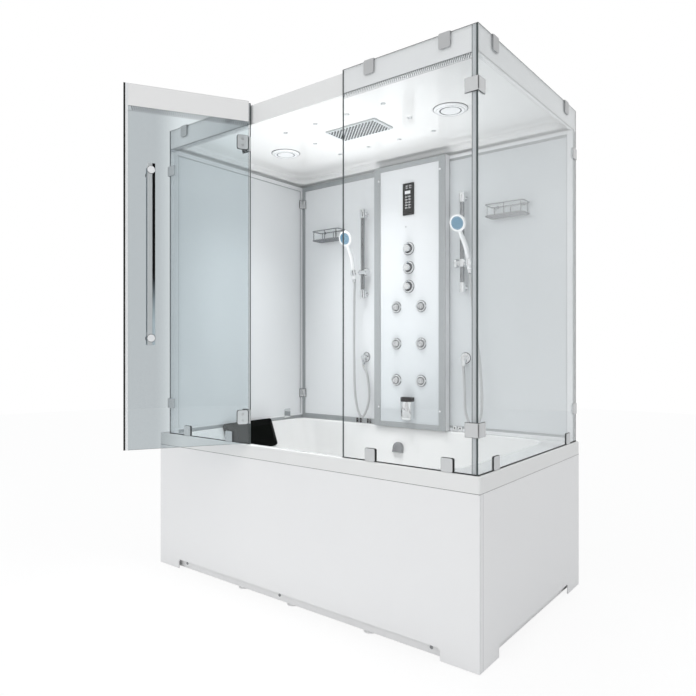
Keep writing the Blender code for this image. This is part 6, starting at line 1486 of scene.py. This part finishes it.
def elbows():
    for name, side in SIDES:
        x, wall = COLUMN_X + side * 0.311, PANEL_FACE - GAP
        shape = Shape()
        flange = [(0, 0.010), (0.0170, 0.010), (0.0235, 0.0092), (0.0262, 0.0065), (0.027, 0.0), (0, 0)]
        shape.turned(eased(flange, 0.002), CHROME, (x, wall, ELBOW_Z), (0, -1, 0), 56)
        # Painted shadow: a dark ring round the rose on the wall.
        shape.turned(hoop(0.0268, 0.0284, 0.0, 0.0010), DARK_GAPS_AND_SHADE, (x, wall, ELBOW_Z), (0, -1, 0), 56)
        y = wall - 0.024
        shape.rod((x, wall - 0.002, ELBOW_Z), (x, y - 0.012, ELBOW_Z), 0.012, CHROME, 40, 0.002)
        shape.rod((x, y, ELBOW_Z), (x, y, 0.998), 0.0105, CHROME, 32)
        shape.rod((x, y, 0.999), (x, y, 0.985), 0.0095, CHROME, 6)
        shape.piece(f"{name}_elbow_rose", "chrome", [f"{name}_wall_elbow"])


def shelves():
    for name, side in SIDES:
        x, wall = COLUMN_X + side * 0.547, PANEL_FACE - GAP
        left, right = x - 0.095, x + 0.095
        front, back = wall - 0.087, wall - 0.007
        low, high = 1.703, 1.757
        shape = Shape()
        for z in (low, high):
            outline = [(u, v, z) for u, v in rounded(left, right, front, back, 0.012, 6)]
            shape.tube(outline, 0.0030, TUBE, 12, True)
        for i in range(3):
            u = left + 0.012 + (right - left - 0.024) * i / 2
            for v in (front, back):
                shape.rod((u, v, low), (u, v, high), 0.0018, TUBE, 10, 0.0002)
        for i in range(5):
            v = front + (back - front) * (i + 1) / 6
            shape.rod((left, v, low), (right, v, low), 0.0016, TUBE, 10, 0.0002)
        for u in (left + 0.030, right - 0.030):
            shape.rod((u, back, high), (u, wall, high), 0.007, TUBE, 24)
        shape.piece(f"{name}_shelf_wires", "chrome", [f"{name}_shelf"])
        plate = Shape()
        plate.block((left + 0.010, front + 0.0035, low + 0.006), (right - 0.010, front + 0.0060, high - 0.006), CLEAR,
                    "Y", bevel=0.0004, edge=EDGE)
        plate.piece(f"{name}_shelf_guard", None)


# Hoses

LEFT_HOSE = ((-0.334, 0.398, 1.330), (-0.333, 0.395, 1.050), (-0.325, 0.398, 0.800), (-0.285, 0.404, 0.690),
             (-0.243, 0.414, 0.790), (-0.262, 0.424, 0.920))
RIGHT_HOSE = ((0.394, 0.396, 1.327), (0.412, 0.396, 1.150), (0.431, 0.396, 1.000), (0.441, 0.398, 0.830),
              (0.432, 0.400, 0.735), (0.393, 0.403, 0.684), (0.352, 0.410, 0.760), (0.342, 0.420, 0.870))


def hose_route(side, middle):
    centre, up = cradle_line(side)
    start = Vector((COLUMN_X + side * 0.309, RAIL_Y, SLIDER_Z)) + centre - up * (0.036 + 0.018 + GAP)
    elbow = Vector((COLUMN_X + side * 0.311, PANEL_FACE - GAP - 0.024, 0.985 - GAP))
    return [start, start - up * 0.014, *map(Vector, middle), elbow - Vector((0, 0, 0.014)), elbow]


def ribbed(shape, path, radius):
    """A hose of closely wound steel strip."""
    radii = [radius - (0.0006 if i % 2 else 0.0) for i in range(len(path))]
    shape.tube(path, radii, SATIN, 14)


def length_of(path):
    return sum((b - a).length for a, b in zip(path, path[1:]))


def hoses():
    for (name, side), middle in zip(SIDES, (LEFT_HOSE, RIGHT_HOSE)):
        path = smooth_path(hose_route(side, middle), 0.0022)
        split = next(i for i, p in enumerate(path) if length_of(path[: i + 1]) > 0.11)
        upper, lower = path[: split + 1], path[split:]
        shape = Shape()
        ribbed(shape, upper, 0.0070)
        top = shape.to_object(f"{name}_hose_top")
        settle(top, [f"{name}_shower_hose"], None, 60)
        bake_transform(top)
        shape = Shape()
        ribbed(shape, lower, 0.0070)
        tail = shape.to_object(f"{name}_hose_tail")
        settle(tail, [f"{name}_shower_hose"], None, 60)
        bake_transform(tail)
        collar = Shape()
        along = (upper[-2] - upper[-1]).normalized() * 0.007
        collar.rod(lower[0] - along, lower[0] + along, 0.0078, SATIN, 28, 0.001)
        ferrule = collar.piece(f"{name}_hose_collar", "satin_metal", (), f"{name}_slider")


# Stage

def make_world():
    """White to the camera, softer as a light, and dark on one side in a mirror."""
    world = bpy.data.worlds.new("world")
    scene.world = world
    world.use_nodes = True
    tree = world.node_tree
    tree.nodes.clear()
    path, seen, glossy, add, out = (
        tree.nodes.new(kind)
        for kind in ("ShaderNodeLightPath", "ShaderNodeMath", "ShaderNodeMixShader", "ShaderNodeMixShader",
                     "ShaderNodeOutputWorld")
    )
    seen.operation = "MAXIMUM"
    link(tree, path.outputs["Is Camera Ray"], seen.inputs[0])
    link(tree, path.outputs["Is Transmission Ray"], seen.inputs[1])
    light, mirrored, white = (tree.nodes.new("ShaderNodeBackground") for _ in range(3))
    light.inputs["Color"].default_value = (0.98, 0.99, 1.0, 1)
    light.inputs["Strength"].default_value = 0.80
    white.inputs["Color"].default_value = (1, 1, 1, 1)
    place, towards, ramp = (
        tree.nodes.new(kind) for kind in ("ShaderNodeTexCoord", "ShaderNodeVectorMath", "ShaderNodeMapRange")
    )
    towards.operation = "DOT_PRODUCT"
    towards.inputs[1].default_value = (0.82, -0.57, 0.0)
    link(tree, place.outputs["Generated"], towards.inputs[0])
    link(tree, towards.outputs["Value"], ramp.inputs["Value"])
    ramp.inputs["From Min"].default_value, ramp.inputs["From Max"].default_value = 0.25, 0.65
    ramp.inputs["To Min"].default_value, ramp.inputs["To Max"].default_value = 1.0, 0.06
    link(tree, ramp.outputs[0], mirrored.inputs["Strength"])
    link(tree, path.outputs["Is Glossy Ray"], glossy.inputs[0])
    link(tree, light.outputs[0], glossy.inputs[1])
    link(tree, mirrored.outputs[0], glossy.inputs[2])
    link(tree, seen.outputs[0], add.inputs[0])
    link(tree, glossy.outputs[0], add.inputs[1])
    link(tree, white.outputs[0], add.inputs[2])
    link(tree, add.outputs[0], out.inputs["Surface"])


def make_lamp(name, at, target, size, power, spread=180):
    data = bpy.data.lights.new(name, "AREA")
    data.shape, data.size, data.energy = "DISK", size, power
    data.spread = math.radians(spread)
    lamp = bpy.data.objects.new(name, data)
    lamp.location = at
    lamp.rotation_euler = (Vector(target) - Vector(at)).to_track_quat("-Z", "Y").to_euler()
    lamp.visible_camera = lamp.visible_transmission = lamp.visible_glossy = False
    scene.collection.objects.link(lamp)


def make_card(name, at, target, width, height, value):
    """A dark sheet that only mirrors see, so that metal and gloss have something to show."""
    data = bpy.data.meshes.new(name)
    corners = [(-width / 2, -height / 2, 0), (width / 2, -height / 2, 0), (width / 2, height / 2, 0),
               (-width / 2, height / 2, 0)]
    data.from_pydata(corners, [], [(0, 1, 2, 3)])
    material = bpy.data.materials.new(name)
    material.use_nodes = True
    shader = material.node_tree.nodes["Principled BSDF"]
    shader.inputs["Base Color"].default_value = (0, 0, 0, 1)
    shader.inputs["Specular IOR Level"].default_value = 0.0
    shader.inputs["Emission Color"].default_value = (value, value, value * 1.03, 1)
    shader.inputs["Emission Strength"].default_value = 1.0
    data.materials.append(material)
    card = bpy.data.objects.new(name, data)
    card.location = at
    card.rotation_euler = (Vector(target) - Vector(at)).to_track_quat("-Z", "Y").to_euler()
    card.visible_camera = card.visible_diffuse = card.visible_transmission = card.visible_shadow = False
    scene.collection.objects.link(card)


def make_floor():
    data = bpy.data.meshes.new("floor")
    shape = bmesh.new()
    bmesh.ops.create_circle(shape, cap_ends=True, segments=96, radius=9.0)
    shape.to_mesh(data)
    shape.free()
    material = bpy.data.materials.new("floor_white")
    material.use_nodes = True
    tree = material.node_tree
    tree.nodes.clear()
    diffuse = tree.nodes.new("ShaderNodeBsdfDiffuse")
    diffuse.inputs["Color"].default_value = (0.9, 0.9, 0.9, 1)
    glow = tree.nodes.new("ShaderNodeEmission")
    glow.inputs["Color"].default_value = (1, 1, 1, 1)
    path = tree.nodes.new("ShaderNodeLightPath")
    glow.inputs["Strength"].default_value = 1.03
    seen = tree.nodes.new("ShaderNodeMath")
    seen.operation = "MAXIMUM"
    link(tree, path.outputs["Is Camera Ray"], seen.inputs[0])
    link(tree, path.outputs["Is Transmission Ray"], seen.inputs[1])
    share = tree.nodes.new("ShaderNodeMath")
    share.operation = "MULTIPLY"
    share.inputs[1].default_value = 0.85
    link(tree, seen.outputs[0], share.inputs[0])
    mix = tree.nodes.new("ShaderNodeMixShader")
    link(tree, share.outputs[0], mix.inputs[0])
    link(tree, diffuse.outputs[0], mix.inputs[1])
    link(tree, glow.outputs[0], mix.inputs[2])
    out = tree.nodes.new("ShaderNodeOutputMaterial")
    link(tree, mix.outputs[0], out.inputs["Surface"])
    data.materials.append(material)
    floor = bpy.data.objects.new("floor", data)
    floor.location.z = -0.0005
    scene.collection.objects.link(floor)


def make_stage():
    make_world()
    make_floor()
    make_lamp("front_lamp", (0.2, -4.2, 2.2), (0, 0, 0.6), 3.0, 26)
    make_lamp("up_lamp", (-0.08, -0.10, 0.72), (-0.06, -0.12, 2.1), 1.00, 4.7, 80)
    make_lamp("down_lamp", (-0.18, -0.12, 2.03), (-0.12, -0.14, 0.2), 0.80, 5.9, 95)
    make_card("dark_card_front", (1.2, -3.6, 1.3), (0, 0, 1.2), 0.8, 3.2, 0.03)
    make_card("dark_card_right", (3.4, -0.6, 1.2), (0, 0, 1.2), 0.8, 3.0, 0.08)
    scene.view_settings.view_transform = "Standard"


def build():
    hoses()
    tub()
    aprons()
    base_frame()
    base_screws()
    waste()
    overflow_cover()
    pillow()
    steam_generator()
    glass_walls()
    corner_clamps()
    wall_frames()
    roof()
    star_lights()
    rain_head()
    ceiling_fixture("speaker_grille", -0.485, "ceiling_speaker", "grey", WHITE)
    ceiling_fixture("lamp_lens", 0.493, "ceiling_light", "white", WHITE)
    door()
    column()
    jets()
    knobs()
    control_pad()
    steam_outlet()
    mixer()
    rails()
    sliders()
    handsets()
    elbows()
    shelves()


make_camera()
make_stage()
build()
